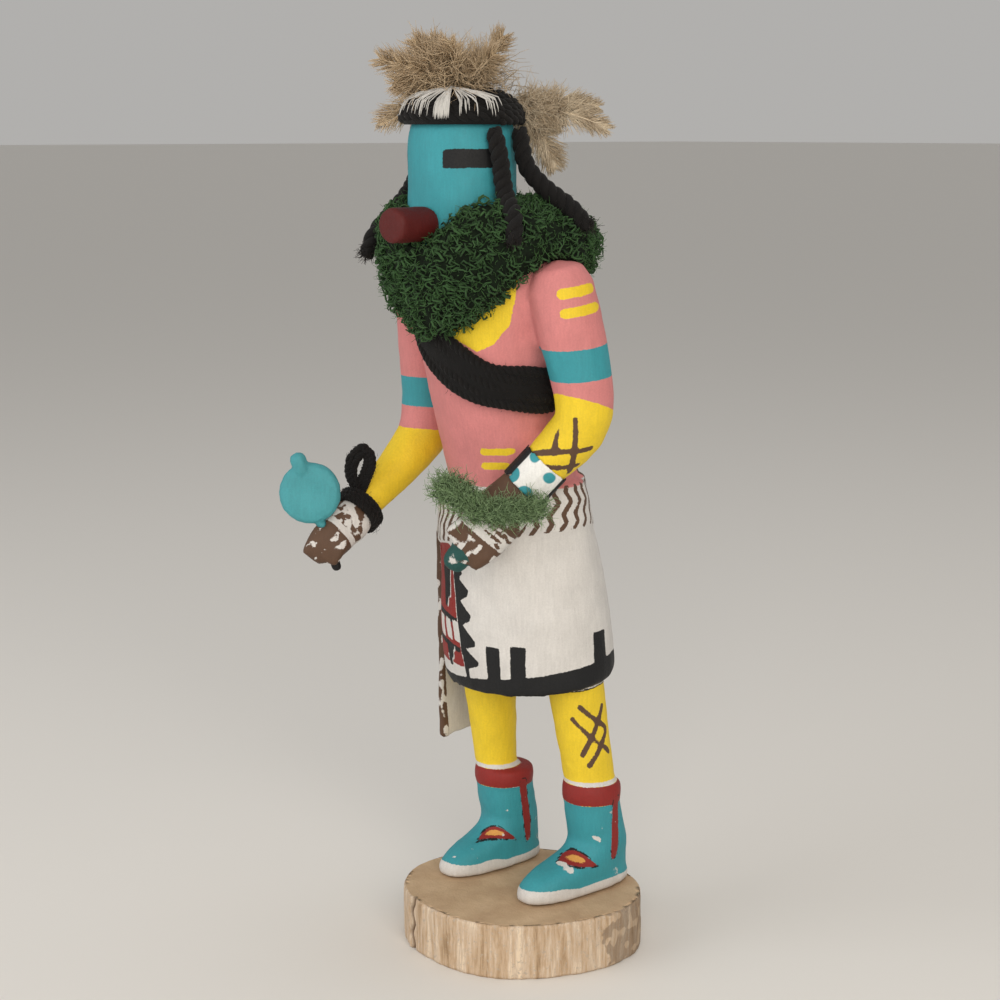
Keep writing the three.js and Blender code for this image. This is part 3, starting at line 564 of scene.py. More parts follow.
def painted_fields(p):
    """Signed distances to each coat of paint, in the order in which the coats go on."""
    x, y, z = p.T
    wobble = 0.22 * grain(p, 2.2, 5) + 0.12 * grain(p, 0.9, 6)
    left_arm, right_arm = to_path(p, LEFT_ARM), to_path(p, RIGHT_ARM)
    left_hand, right_hand = to_path(p, LEFT_HAND), to_path(p, RIGHT_HAND)
    left_hand = overlap(left_hand, to_segment(p, (14.9, -10.8, 149.6), (0.9, -27.2, 125.6), 14))
    head = overlap(np.hypot(x - MASK_AXIS[0], y - MASK_AXIS[1]) - 16, 214 - z)
    body = torso_field(p)
    trunk = overlap(body, 136 - z, z - 218)
    board = overlap(np.abs((x + 38.6) * 0.985 + (y - 7.5) * 0.17 + (z - 100) * -0.03) - 1.5, 56 - z, z - 145.5,
                    x + 33.5)
    board = overlap(board, np.abs((y - 7.6) * 0.985) - 13.0)
    belt_top = tilted(p, 143.5, 0.15, 0.02, 3.0)
    belt_low = tilted(p, 128.8, 0.17, 0.02, 4.0)
    hem = tilted(p, 83.6, 0.03, 0.12)
    skirt = overlap(belt_low, -hem - 1.0)
    zero = np.zeros(len(p))
    fields = {}

    def among(own, others):
        """Where `own` is the nearest surface, and the points lie on it."""
        return overlap((own - others) / 2, own - 3.2)

    others = nearest(left_hand, right_hand, board, head)
    flesh = nearest(left_arm, right_arm, overlap(trunk, -belt_top))
    fields["pink"] = overlap(among(flesh, others), 146 - z)

    # Yellow: legs, forearms, the patch on the chest and the short stripes.
    left_cut = z - (173.4 - 0.35 * (y + 1))
    forearm_left = overlap(among(left_arm, nearest(trunk, left_hand)), left_cut, 12 - x)
    forearm_right = overlap(among(right_arm, nearest(trunk, board)), z - 158.9 + 0.1 * (y + 8), x + 28)
    legs = overlap(hem + 0.4, 43 - z, among(nearest(
        to_segment(p, (12.1, 17.6, 42), (8.6, 12.4, 90), 8.2, 9.2),
        to_segment(p, (-23.6, 9.2, 41), (-23.6, 5.4, 90), 6.6, 9.2)), board))
    patch = overlap(to_polygon(x, z, [
        (-16, 214), (-14, 200), (-8, 195), (-2.1, 191.0), (4.6, 187.4), (9.0, 190.0), (13.2, 195.6), (14.8, 202),
        (16, 214),
    ]), y + 6, among(trunk, left_arm))
    marks = [((0.6, -16.4, 157.0), (8.6, -11.4, 157.5)), ((0.0, -15.6, 152.5), (6.4, -12.0, 153.0))]
    bars = nearest(*[to_segment(p, a, b, 1.15) for a, b in marks])
    arm_bars = nearest(to_path(p, [(30.2, -11.8, 205.2), (32.6, -7.0, 206.0), (32.4, -1.2, 207.0)], 1.5),
                       to_path(p, [(30.8, -11.2, 199.6), (33.6, -5.5, 200.6), (33.0, 2.0, 202.0)], 1.5))
    other_bars = nearest(to_path(p, [(-47.4, -11.5, 203), (-49.8, -6, 204), (-49.6, 0, 205)], 1.5),
                         to_path(p, [(-47.8, -11, 197.6), (-50.4, -5, 198.6), (-50, 2, 199.6)], 1.5))
    fields["yellow"] = nearest(forearm_left, forearm_right, legs, patch, bars, arm_bars, other_bars) + 0.5 * wobble

    # Turquoise: mask, boots and armbands.
    top = z - (189.8 + 0.12 * (y + 3))
    band_left = overlap(top, -top - 9.4, among(left_arm, trunk), 12 - x)
    band_right = overlap(z - 175.0 + 0.05 * (y + 5), 165.8 - z - 0.05 * (y + 5), among(right_arm, trunk), x + 28)
    boots = nearest(overlap(z - 45.7, -x - 6), overlap(z - 44.4, x + 6))
    mask = among(head, nearest(trunk + 2, left_arm, right_arm))
    fields["turquoise"] = nearest(band_left, band_right, boots, mask) + 0.4 * wobble

    near = boot_marks(p, (45.7, 51.4), 106, 12.3, 17.7, 9.0, (20.4, 20.6, 28.0), ((16.4, 8.5, 28.7), 0.14, 0.045))
    far = boot_marks(p, (44.4, 49.8), 92, -22.1, 11.0, 9.4, (-14.2, 15.4, 25.5), ((-17.1, 3.9, 29.4), 0.1, 0.07))
    outer_near = to_segment(p, (3.4, 19.8, 45.5), (3.6, 22, 28), 1.4)
    outer_far = to_segment(p, (-31.4, 12.6, 44), (-30.0, 15.0, 27), 1.4)
    cuffs = nearest(overlap(near[0], -x - 6), overlap(far[0], x + 6))
    lines = overlap(nearest(near[1], far[1], outer_near, outer_far), 24.6 - z)
    openings = overlap(nearest(near[2], far[2]), z - 40)

    # Kilt panel at the doll's right: red with black steps, beside a toothed black border.
    front = overlap(skirt, y - 2)
    edge = -13.9 + (112.5 - z) * 0.135
    red_panel = overlap(x - edge, 88.2 - z, front)
    teeth = [(-30, 122), (-12.6, 121), (-9.4, 118.5), (-11.8, 116.9), (-7.0, 113.6), (-7.4, 111.6), (-11.2, 109.9),
             (-6.2, 105.8),
             (-6.6, 104.0), (-10.4, 102.5), (-4.7, 97.9), (-5.0, 96.1), (-9.4, 95.0), (-4.0, 91.4), (-4.4, 90.0),
             (-8.8, 88.6), (-8.8, 80), (-30, 80)]
    toothed = overlap(to_polygon(x, z, teeth), front)
    hem_edge = z - (88.8 + 0.114 * (x - MIDLINE) + 0.136 * (y - 10.3))
    border = overlap(hem_edge, -hem - 1.6, among(zero, nearest(board, zero + 1)))
    turn = around(p, MIDLINE, 8.5)
    posts = []
    for start, stop, high in ((19.5, 31.0, 97.2), (39.0, 49.5, 98.2), (93.5, 105.5, 101.6), (141, 150, 103),
                              (158, 167, 103)):
        middle, half = (start + stop) / 2, (stop - start) / 2
        posts.append(overlap((np.abs(turn - middle) - half) * 0.42, z - high, skirt))
    mirrored = overlap((np.abs(turn + 152) - 5) * 0.42, z - 97, skirt)
    fields["red"] = nearest(cuffs, lines, openings, red_panel + 0.3) + 0.4 * wobble
    black_steps = nearest(
        to_polygon(x, z, [(-22.4, 119), (-17.2, 119), (-17.2, 109.4), (-18.4, 109.4), (-18.4, 106.4),
                          (-20.6, 106.4), (-21.2, 112)]),
        to_polygon(x, z, [(-27, 105.4), (-13, 103.6), (-13, 101.6), (-27, 103.4)]),
        to_polygon(x, z, [(-28, 96.6), (-12, 94.4), (-12, 92.6), (-16.2, 93.2), (-16.2, 90.2), (-17.6, 90.2),
                          (-17.6, 87.4),
                          (-19.8, 87.4), (-20.8, 94.0), (-28, 94.8)]))
    eyes = nearest(*[overlap(np.abs(side * around(p, *MASK_AXIS) - 66) * 0.28 - 9.9, z - 245.3 - 0.02 * (x + 5),
                             239.9 - z + 0.02 * (x + 5), head - 2)
                     for side in (1, -1)])
    rims = nearest(overlap(lines - 0.35, -lines - 0.05), overlap(openings - 0.4, -openings - 0.1))
    black = nearest(overlap(toothed, edge - x), overlap(black_steps, front, x - edge), border, *posts, mirrored,
                    eyes, rims)
    fields["black"] = black + 0.5 * wobble

    # White over black: bars, step lines, the soles and the rims of the cuffs.
    ladder = nearest(*[overlap(to_polygon(x, z,
                                          [(a, 103.0 - 0.02 * (a + 20)), (b, 102.6), (b + 0.8, 96.0),
                                           (a + 0.8, 96.6)]), front)
                       for a, b in ((-26.5, -22.2), (-20.6, -17.0), (-15.6, -12.4))])
    steps = nearest(
        to_path(np.column_stack([x, z, y * 0]),
                [(-16.9, 118, 0), (-17.0, 109.6, 0), (-18.2, 109.2, 0), (-18.4, 106.6, 0), (-19.8, 106.2, 0)],
                0.32),
        to_path(np.column_stack([x, z, y * 0]),
                [(-15.2, 94.4, 0), (-15.6, 92.8, 0), (-16.4, 92.6, 0), (-16.6, 90.2, 0), (-17.8, 89.8, 0),
                                                 (-18.0, 87.6, 0), (-19.6, 87.0, 0), (-20.4, 91.0, 0)], 0.3))
    sole_line = 20.9 + 0.6 * grain(p, 7, 11)
    soles = z - sole_line - 0.9 * np.clip((6 - y) / 14, 0, 1)
    rim = nearest(overlap(near[4] * -1, -x - 6, z - 53.0, to_segment(p, (12.3, 17.7, 50), (12.3, 17.7, 53), 10.5)),
                  overlap(far[4] * -1, x + 6, z - 51.4, to_segment(p, (-22.1, 11, 48), (-22.1, 11, 52), 10.6)))
    edging = overlap(hem + 0.6, -hem - 1.2, zero - 1)
    board_white = overlap(board - 0.8, x + 34.6)
    fields["white"] = nearest(overlap(ladder, x - edge), overlap(steps, front, x - edge), soles, rim, board_white,
                              edging) + 0.4 * wobble

    # Brown: the marks on arm and leg, the belt's waves, the gloves, the sash's edge and the pelt.
    arm_marks = overlap(nearest(
        to_path(p, [(26.2, -9.2, 169.0), (26.0, -10.4, 163), (24.6, -8.6, 155.5), (23.6, -7.5, 151.6)], 0.95),
        to_path(p, [(31.2, -7.4, 169.2), (31.0, -7.0, 163), (28.4, -5.6, 156.5), (25.4, -4.4, 151.0)], 0.95),
        to_path(p, [(18.6, -13.4, 158.6), (23.6, -11.6, 159.2), (28.6, -7.2, 159.8), (32.0, -1.6, 160.4)], 0.95),
        to_path(p, [(21.6, -12.6, 155.2), (25.2, -8.6, 155.0), (28.6, -3.0, 155.2)], 0.95)),
        among(left_arm, nearest(trunk, left_hand)))
    leg_marks = nearest(
        to_path(p, [(16.4, 8.8, 77.5), (17.9, 13.0, 73.6), (18.4, 18.6, 69.4)], 0.85),
        to_path(p, [(14.6, 7.4, 73.6), (17.6, 12.0, 67.8), (18.9, 19.4, 61.8)], 0.85),
        to_path(p, [(18.0, 16.9, 77.0), (18.4, 13.2, 69.5), (16.6, 9.8, 62.0)], 0.85),
        to_path(p, [(18.4, 18.4, 69.4), (18.8, 15.0, 64.0), (17.8, 11.8, 58.6)], 0.85))
    far_marks = nearest(
        to_path(p, [(-31.5, 4.0, 77), (-31.2, 8.0, 70), (-30.2, 11, 64)], 0.85),
        to_path(p, [(-30.5, 2.6, 71), (-31.3, 6.5, 66), (-30.6, 11.5, 60)], 0.85),
        to_path(p, [(-31.6, 9.0, 78), (-31.2, 5.0, 69), (-29.8, 3.0, 62)], 0.85))
    waves = overlap(belt_waves(p), -belt_low + 0.4, belt_top + 0.4,
                    among(zero, nearest(board, left_arm, right_arm, left_hand)))
    fold = overlap(y + 4.9 - (116.8 - z) * 0.0735 - 1.1, x + 34.6, board - 1.2, z - 146)
    fur = overlap(to_polygon(x - MIDLINE, z, [
        (-15, 154), (-13, 143), (-8.8, 128), (-7.6, 104), (-5.6, 93), (0, 87), (5.6, 93), (7.6, 104), (8.8, 128),
        (13, 143), (15, 154)]), 8 - y)
    on_left = among(left_hand, nearest(left_arm - 0.2, trunk, zero + 1.4))
    on_right = among(right_hand, right_arm - 0.4)
    gloves = nearest(on_left, on_right)
    fields["brown"] = nearest(arm_marks, leg_marks, far_marks, waves, fold, fur, gloves) + 0.6 * wobble

    # White on the gloves and on the sash's worn edge.
    a, c, o = hand_marks(p, (14.9, -10.8, 149.6), (4.9, -24, 130.6), np.array([0.77, -0.64, 0.0]))
    streaks = grain(np.column_stack([a * 1.3, c * 0.28, o]), 1.0, 21)
    wide_band = overlap(np.abs(a - 18.2) - 2.9, -0.2 - streaks)
    fingers = overlap(22.6 - a, 0.08 - grain(np.column_stack([a * 0.35, c * 0.9, o * 0.5]), 1.2, 22))
    triangles = nearest(*[to_polygon(a, c, tri) for tri in (
        [(11.2, 4.6), (13.8, 0.6), (11.0, 1.2)], [(11.6, 0.2), (14.2, -3.6), (11.4, -3.2)],
        [(9.6, -4.4), (12.6, -7.4), (9.0, -8.6)],
        [(13.4, 6.6), (14.6, 3.2), (14.8, 6.0)])])
    ra, rc, ro = hand_marks(p, (-40, -34.6, 133.9), (-40.8, -47.6, 124.7), np.array([0.77, -0.64, 0.0]))
    blots = grain(np.column_stack([ra, rc, ro]), (1.5, 1.9, 1.9), 23) + 0.5 * grain(p, 0.8, 24)
    speckle = overlap(ra - 6.0, -0.05 - blots)
    beige = overlap(6.2 - ra, ra - 8.2)
    knuckles = overlap(8.4 - ra, 0.42 - grain(np.column_stack([ra * 0.4, rc * 1.2, ro * 0.5]), 1.1, 25))
    worn = overlap(fold, 0.22 - grain(p, (1.2, 1.0, 2.6), 26) - 0.4 * grain(p, 0.8, 27), x + 33)
    fields["chalk"] = nearest(overlap(nearest(wide_band, fingers, triangles), on_left),
                              overlap(nearest(speckle, beige, knuckles), on_right),
                              worn) + 0.15 * wobble

    lump = to_segment(p, (2.8, -25.6, 129.2), (0.9, -27.2, 125.6), 4.5)
    teal = overlap(lump - 0.9, to_segment(p, (2.4, -26.4, 128.0), (0.7, -28.0, 124.6), 5.2),
                   -0.45 - grain(p, 3.0, 28) * 0.9)
    fields["teal"] = teal
    fields["orange"] = overlap(nearest(near[3], far[3]), z - 40) + 0.3 + 0.5 * wobble
    chip = to_segment(p, (12.2, 4.2, 27.6), (17.6, 4.6, 26.4), 1.0) + 0.5 * grain(p, 1.1, 31)
    spot = to_segment(p, (18.2, 13.4, 35.2), (19.0, 15.0, 34.4), 0.7) + 0.3 * grain(p, 0.8, 32)
    nicks = overlap(1.15 - np.abs(grain(p, 2.6, 33)) - 0.62 * np.abs(grain(p, 1.1, 34)), z - 44)
    fields["chips"] = nearest(chip, spot, nicks)
    return fields


COATS = (("pink", "pink"), ("yellow", "yellow"), ("turquoise", "turquoise"), ("red", "red"), ("black", "black"),
         ("white", "white"), ("brown", "brown"), ("chalk", "white"), ("teal", "teal"), ("orange", "orange"),
         ("chips", "white"))


def painted_material(paint):
    """Root wood primed white, with matt acrylic coats whose edges are hand drawn."""
    material, tree, shader, place = new_material("brushed_acrylic_on_cottonwood")
    ragged = noise(tree, place, 0.6, 2.0)
    ragged = remap(tree, ragged, 0.3, 0.7, -0.1, 0.1)
    base = add(tree, "ShaderNodeRGB")
    base.outputs[0].default_value = rgba(paint.white)
    result = base.outputs[0]
    for layer, tint in COATS:
        field = stored(tree, layer)
        field = maths(tree, "ADD", field, ragged)
        cover = remap(tree, field, 0.07, -0.07)
        result = blend(tree, cover, result, rgba(getattr(paint, tint)))
    brushed_paint(tree, shader, place, result, 0.55)
    return material


class DOLL_OT_carved_figure(bpy.types.Operator):
    """Carves the figure from its solid and paints every coat on it"""

    bl_idname = "doll.carved_figure"
    bl_label = "Carved figure"

    def execute(self, context):
        sizes, paint = context.scene.doll_sizes, context.scene.doll_paint
        piece, skin, normals = regrid("painted_figure", "carved_figure", sizes.voxel, 9)
        # Knife and file leave shallow hollows about 5 mm across, and the sole stays flat on the slice.
        depth = sizes.knife / MM * (grain(skin, 5.0, 1) + 0.5 * grain(skin, 2.1, 2))
        depth *= np.clip((skin[:, 2] - SLAB_TOP - 0.5) / 2, 0, 1)
        move_points(piece, skin + normals * depth[:, None])
        for key, data in painted_fields(skin).items():
            piece.data.attributes.new(key, "FLOAT", "POINT").data.foreach_set("value", data.astype(np.float32))
        finish_piece(piece, painted_material(paint), ["carved_figure"])
        return {"FINISHED"}


class DOLL_OT_wooden_fittings(bpy.types.Operator):
    """Softens and paints the snout, the rattle and the wrist guard"""

    bl_idname = "doll.wooden_fittings"
    bl_label = "Snout, rattle and wrist guard"

    def execute(self, context):
        paint = context.scene.doll_paint
        plans = (
            # The snout is the same red paint as elsewhere, made darker all over: the darkening is painted shade.
            ("painted_snout", "snout_tube", plain_paint("red_acrylic_darkened_by_painted_shade", linear("#54120f"), 0.9), "red_paint",
             0.5),
            ("painted_rattle", "gourd_rattle", gourd_material(paint), "turquoise_paint", 0.42),
            ("painted_guard", "bow_guard", guard_material(paint), "white_paint", 0.42),
        )
        for name, node, material, slot, voxel in plans:
            piece, skin, normals = regrid(name, node, voxel * MM, 5)
            depth = 0.12 * grain(skin, 2.6, 41) + 0.05 * grain(skin, 0.9, 42)
            move_points(piece, skin + normals * depth[:, None])
            finish_piece(piece, material, [node])
        return {"FINISHED"}


def gourd_material(paint):
    """Turquoise acrylic on the gourd, and black on the stick's foot below the fist."""
    material, tree, shader, place = new_material("acrylic_turquoise_gourd")
    height = add(tree, "ShaderNodeSeparateXYZ", i0=place).outputs[2]
    cover = remap(tree, height, 130.0, 129.6)
    base = blend(tree, cover, rgba(linear("#489aa2")), rgba(paint.black))
    brushed_paint(tree, shader, place, base, 0.8, 0.16)
    return material


def guard_material(paint):
    """White acrylic with turquoise dots and black strips on the leather wrist guard."""
    material, tree, shader, place = new_material("acrylic_white_dotted")
    result = add(tree, "ShaderNodeRGB")
    result.outputs[0].default_value = rgba(linear("#e9e9e6"))
    result = result.outputs[0]
    for spot, radius in (((15.6, -17.9, 152.6), 2.5), ((18.8, -15.6, 147.2), 2.5), ((23.0, -10.2, 152.2), 2.3),
                         ((20.4, -12.2, 157.4), 2.3),
                         ((14.0, -18.4, 147.4), 1.9)):
        gap = add(tree, "ShaderNodeVectorMath", {"operation": "DISTANCE"}, i0=place, i1=spot).outputs["Value"]
        cover = remap(tree, gap, radius + 0.15, radius - 0.15)
        result = blend(tree, cover, result, rgba(paint.turquoise))
    across = add(tree, "ShaderNodeVectorMath", {"operation": "SUBTRACT"}, i0=place,
                 i1=(17.0, -10.0, 151.3)).outputs[0]
    across = add(tree, "ShaderNodeVectorMath", {"operation": "DOT_PRODUCT"}, i0=across,
                 i1=(0.47, 0.57, -0.67)).outputs["Value"]
    edge = maths(tree, "ABSOLUTE", across)
    cover = remap(tree, edge, 5.9, 6.1)
    result = blend(tree, cover, result, rgba(paint.black))
    brushed_paint(tree, shader, place, result, 0.5)
    return material


# ---------------------------------------------------------------------------
# The slice of branch
# ---------------------------------------------------------------------------

SLAB_RADIUS = 35.1
SLAB_WAVES = ((1, 2.0, 146), (2, 2.0, 70), (3, 0.4, 190), (4, 0.6, 131))


class DOLL_OT_branch_slice(bpy.types.Operator):
    """Models the slice of branch with its stripped, fibrous side and sawn top"""

    bl_idname = "doll.branch_slice"
    bl_label = "Slice of branch"

    def execute(self, context):
        around_count, up_count, in_count = 560, 34, 26
        angle = np.arange(around_count) / around_count * 2 * np.pi
        edge = SLAB_RADIUS + sum(w * np.cos(k * angle - math.radians(t)) for k, w, t in SLAB_WAVES)
        rows, radial = [], []
        for z in np.linspace(0, SLAB_TOP, up_count):
            rows.append(z)
            radial.append(1.0)
        rows += [SLAB_TOP] * in_count
        radial += list(np.linspace(0.985, 0.04, in_count))
        z, share = (np.repeat(np.array(v), around_count) for v in (rows, radial))
        turn, reach = np.tile(angle, len(rows)), np.tile(edge, len(rows)) * share
        side = (share == 1.0).astype(float)
        arc = np.column_stack([turn * SLAB_RADIUS, z, np.zeros_like(z)])
        wrap = np.column_stack([np.cos(turn) * SLAB_RADIUS, np.sin(turn) * SLAB_RADIUS, z])
        # Fibres run upright and are about 1 mm wide; pits and torn flakes are 2 to 5 mm long.
        fibre = grain(wrap, (1.0, 1.0, 9.0), 51) * 0.1 + grain(wrap, (2.6, 2.6, 14.0), 52) * 0.18
        flake = np.clip(grain(wrap, (3.4, 3.4, 5.0), 53) - 0.25, 0, 1) * 0.7
        crack_line = math.radians(-116) + 0.02 * np.sin(z * 0.9)
        crack = np.exp(-(((turn - (crack_line % (2 * np.pi))) * SLAB_RADIUS / 0.8) ** 2))
        ridge = np.exp(-(((turn - (crack_line % (2 * np.pi))) * SLAB_RADIUS + 1.8) ** 2) / 1.4)
        reach = reach + side * (fibre - flake - 0.9 * crack + 0.5 * ridge)
        bevel = side * (np.exp(-((z - SLAB_TOP) / 0.5) ** 2) + np.exp(-(z / 0.4) ** 2)) * 0.55
        reach -= bevel
        top = (z == SLAB_TOP) & (share < 1)
        z = z + np.where(top, 0.05 * grain(wrap * share[:, None] + 3, 1.6, 54) * (share < 0.97), 0)
        points = np.column_stack([reach * np.cos(turn), reach * np.sin(turn), z])
        count = len(rows)
        faces = []
        for r in range(count - 1):
            base = r * around_count
            for i in range(around_count):
                j = (i + 1) % around_count
                faces.append((base + i, base + j, base + around_count + j, base + around_count + i))
        faces.append(tuple(range(around_count - 1, -1, -1)))
        faces.append(tuple((count - 1) * around_count + i for i in range(around_count)))
        # The grey-brown bark that is left lies on one side of the slice, with pale oval spots.
        bark_turn = np.abs((np.degrees(turn) - 30 + 180) % 360 - 180)
        bark = bark_turn - 21 + 5 * grain(arc, 3.0, 55) + 2 * grain(arc, 1.0, 56)
        bark = np.maximum(bark, 20 * (1 - side))
        second = np.abs((np.degrees(turn) - 150 + 180) % 360 - 180) - 22 + 6 * grain(arc, 3.0, 57)
        bark = np.minimum(bark, np.maximum(second, 20 * (1 - side)))
        spots = grain(wrap, (1.9, 1.9, 2.6), 58)
        values = {"side": side, "bark": bark / 6, "spots": spots, "crack": crack * side}
        piece = make_mesh("branch_slice", points, faces, values)
        finish_piece(piece, self.wood(), ["base_slab"])
        return {"FINISHED"}

    @staticmethod
    def wood():
        """Cottonwood branch: a sawn, matt tan top, and a pale stripped side with torn upright fibres."""
        material, tree, shader, place = new_material("sawn_and_stripped_cottonwood")
        side = stored(tree, "side")
        bark = stored(tree, "bark")
        spots = stored(tree, "spots")
        crack = stored(tree, "crack")
        long = add(tree, "ShaderNodeVectorMath", {"operation": "MULTIPLY"}, i0=place, i1=(1.0, 1.0, 0.1)).outputs[0]
        fibres = noise(tree, long, 1.1, 5.0, 0.7)
        patch = noise(tree, long, 6.0, 3.0)
        fleck = noise(tree, place, 1.3, 4.0, 0.75)
        tone = maths(tree, "MULTIPLY_ADD", patch, 0.75, fibres)
        pale = add(tree, "ShaderNodeValToRGB", i0=remap(tree, tone, 0.55, 1.2))
        ramp = pale.color_ramp
        ramp.elements[0].color = rgba(linear("#8d7355"))
        ramp.elements[0].position = 0.05
        ramp.elements[1].color = rgba(linear("#e2cdb2"))
        ramp.elements[1].position = 0.82
        for position, code in ((0.3, "#b59a7c"), (0.5, "#c6ad92"), (0.66, "#cfbca6")):
            ramp.elements.new(position).color = rgba(linear(code))
        stripped = pale.outputs[0]
        grey = remap(tree, fleck, 0.56, 0.66)
        stripped = blend(tree, grey, stripped, rgba(linear("#b4a594")))
        rough_bark = remap(tree, spots, 0.28, 0.42)
        barked = blend(tree, rough_bark, rgba(linear("#5f4e3f")), rgba(linear("#a8937c")))
        cover = remap(tree, bark, 0.15, -0.15)
        sides = blend(tree, cover, stripped, barked)
        # Dark brown along the crack's groove: painted shade inside the crack.
        sides = blend(tree, crack, sides, rgba(linear("#5d4631")))
        sawn = noise(tree, place, 12.0, 5.0, 0.6)
        face = blend(tree, remap(tree, sawn, 0.3, 0.7), rgba(linear("#b39677")), rgba(linear("#ccb190")))
        base = blend(tree, side, face, sides)
        tree.links.new(base, shader.inputs["Base Color"])
        height = maths(tree, "ADD", fibres, fleck)
        normal = add(tree, "ShaderNodeBump", Height=height, Strength=0.7, Distance=0.0003).outputs[0]
        tree.links.new(normal, shader.inputs["Normal"])
        shader.inputs["Roughness"].default_value = 0.85
        shader.inputs["Specular IOR Level"].default_value = 0.25
        return material


# ---------------------------------------------------------------------------
# Wool and yarn
# ---------------------------------------------------------------------------

class DOLL_OT_wool_ruff(bpy.types.Operator):
    """Covers the ruff with curls of wool over a near-black core that is painted shade between the curls"""

    bl_idname = "doll.wool_ruff"
    bl_label = "Wool ruff"

    def execute(self, context):
        sizes = context.scene.doll_sizes
        rng = np.random.default_rng(61)
        core, skin, normals = regrid("ruff_shade_core", "yarn_ruff", 1.1 * MM)
        sink = 0.5 + 0.7 * grain(skin, 2.4, 62) + 0.3 * grain(skin, 1.1, 63)
        move_points(core, skin - normals * np.clip(sink, 0, 2)[:, None])
        # A near-black green core under the curls: painted shade, so that the gaps between the curls stay dark.
        finish_piece(core, fibre_material("near_black_green_painted_shade", linear("#0b150a"), linear("#1a2c17"),
                                          linear("#1a2c17"), 0.95, 0.0, 1.6),
                     ["yarn_ruff"])

        count, stations = sizes.curls, 11
        spots, outward = scatter("yarn_ruff", count, rng, clear_of="carved_figure", margin=1.1)
        # Each curl is a loose coil that lies on the wool, its axis mostly downhill.
        down = unit(np.array([0, 0, -1.0]) - outward * (-outward[:, 2])[:, None] + rng.normal(0, 0.75, (count, 3)))
        axis = unit(down - (down * outward).sum(1, keepdims=True) * outward)
        side = np.cross(outward, axis)
        t = np.linspace(0, 1, stations)[None, :, None]
        turns = rng.uniform(0.9, 1.9, (count, 1, 1))
        phase = rng.uniform(0, 2 * np.pi, (count, 1, 1))
        radius = sizes.curl / MM * rng.uniform(0.65, 1.25, (count, 1, 1)) * (1 - 0.35 * t)
        run = rng.uniform(1.6, 4.4, (count, 1, 1))
        angle = phase + t * turns * 2 * np.pi * np.sign(rng.normal(size=(count, 1, 1)))
        lift = rng.uniform(-0.7, 1.1, (count, 1, 1))
        paths = (spots[:, None] + axis[:, None] * run * (t - 0.5) + side[:, None] * radius * np.cos(angle)
                 + outward[:, None] * (radius * 0.75 * np.sin(angle) + lift))
        paths += rng.normal(0, 0.16, paths.shape)
        thick = rng.uniform(0.24, 0.42, (count, 1)) * np.interp(np.linspace(0, 1, stations), [0, 0.15, 0.8, 1],
                [0.6, 1, 0.85, 0.3])
        # Curls that stand further out are toned lighter and deeper ones darker: painted shade, over a tone that
        # differs at random.
        shade = np.clip(0.5 + 0.28 * lift[:, 0, 0] + rng.normal(0, 0.2, count), 0, 1)
        curls = make_mesh("ruff_curls", *tubes(paths, thick, 3, shade))
        # Dull green wool locks, each of its own tone, with painted shade on the curls that lie deeper.
        finish_piece(curls, fibre_material("curly_green_wool", linear("#0f2310"), linear("#35532f"),
                                           linear("#3f5f38"), 0.92, 0.03, 3.0),
                     ["yarn_ruff"])

        spots, outward = scatter("yarn_ruff", sizes.fuzz, rng, clear_of="carved_figure", margin=1.1)
        fuzz = make_mesh("ruff_fuzz", *hairs(spots, outward + rng.normal(0, 0.9, outward.shape),
                                             rng.uniform(1.6, 4.6, len(spots)), rng,
                                             0.85, 4, 0.11, 3, 0.12))
        # Lighter loose green fibres that soften the ruff's edge.
        finish_piece(fuzz, fibre_material("green_wool_fuzz", linear("#17300f"), linear("#466a3b"),
                                          linear("#4f7345"), 0.9, 0.0, 3.0),
                     ["yarn_ruff"])
        return {"FINISHED"}


def plied(rows, count, plies, ply_radius, orbit, pitch, closed=False, taper=None, phase=0.0):
    """Twisted plies along a smooth middle line."""
    middle = curve(rows, count, closed)
    if closed:
        middle = np.vstack([middle, middle[:1]])
    tangent = unit(np.gradient(middle, axis=0))
    if closed:
        tangent[0] = tangent[-1] = unit(middle[1] - middle[-2])
    run = np.concatenate([[0], np.cumsum(np.linalg.norm(np.diff(middle, axis=0), axis=1))])
    turns = run[-1] / pitch
    if closed:
        pitch = run[-1] / max(1, round(turns))
    normal = unit(np.cross(tangent, [0.3, 0.2, 0.93]))
    side = np.cross(tangent, normal)
    taper = np.ones(len(middle)) if taper is None else np.interp(np.linspace(0, 1, len(middle)), *taper)
    paths = []
    for k in range(plies):
        angle = phase + 2 * np.pi * (run / pitch + k / plies)
        offset = normal * np.cos(angle)[:, None] + side * np.sin(angle)[:, None]
        paths.append(middle + offset * (orbit * taper)[:, None])
    return np.array(paths), ply_radius * taper


def fluff(paths, rng, count, reach, thick=0.07):
    """Short loose fibres standing off a set of strands."""
    flat = paths.reshape(-1, 3)
    roots = flat[rng.integers(0, len(flat), count)] + rng.normal(0, 0.7, (count, 3))
    return hairs(roots, rng.normal(0, 1, (count, 3)), rng.uniform(0.5, 1, count) * reach, rng, 0.6, 4, thick)


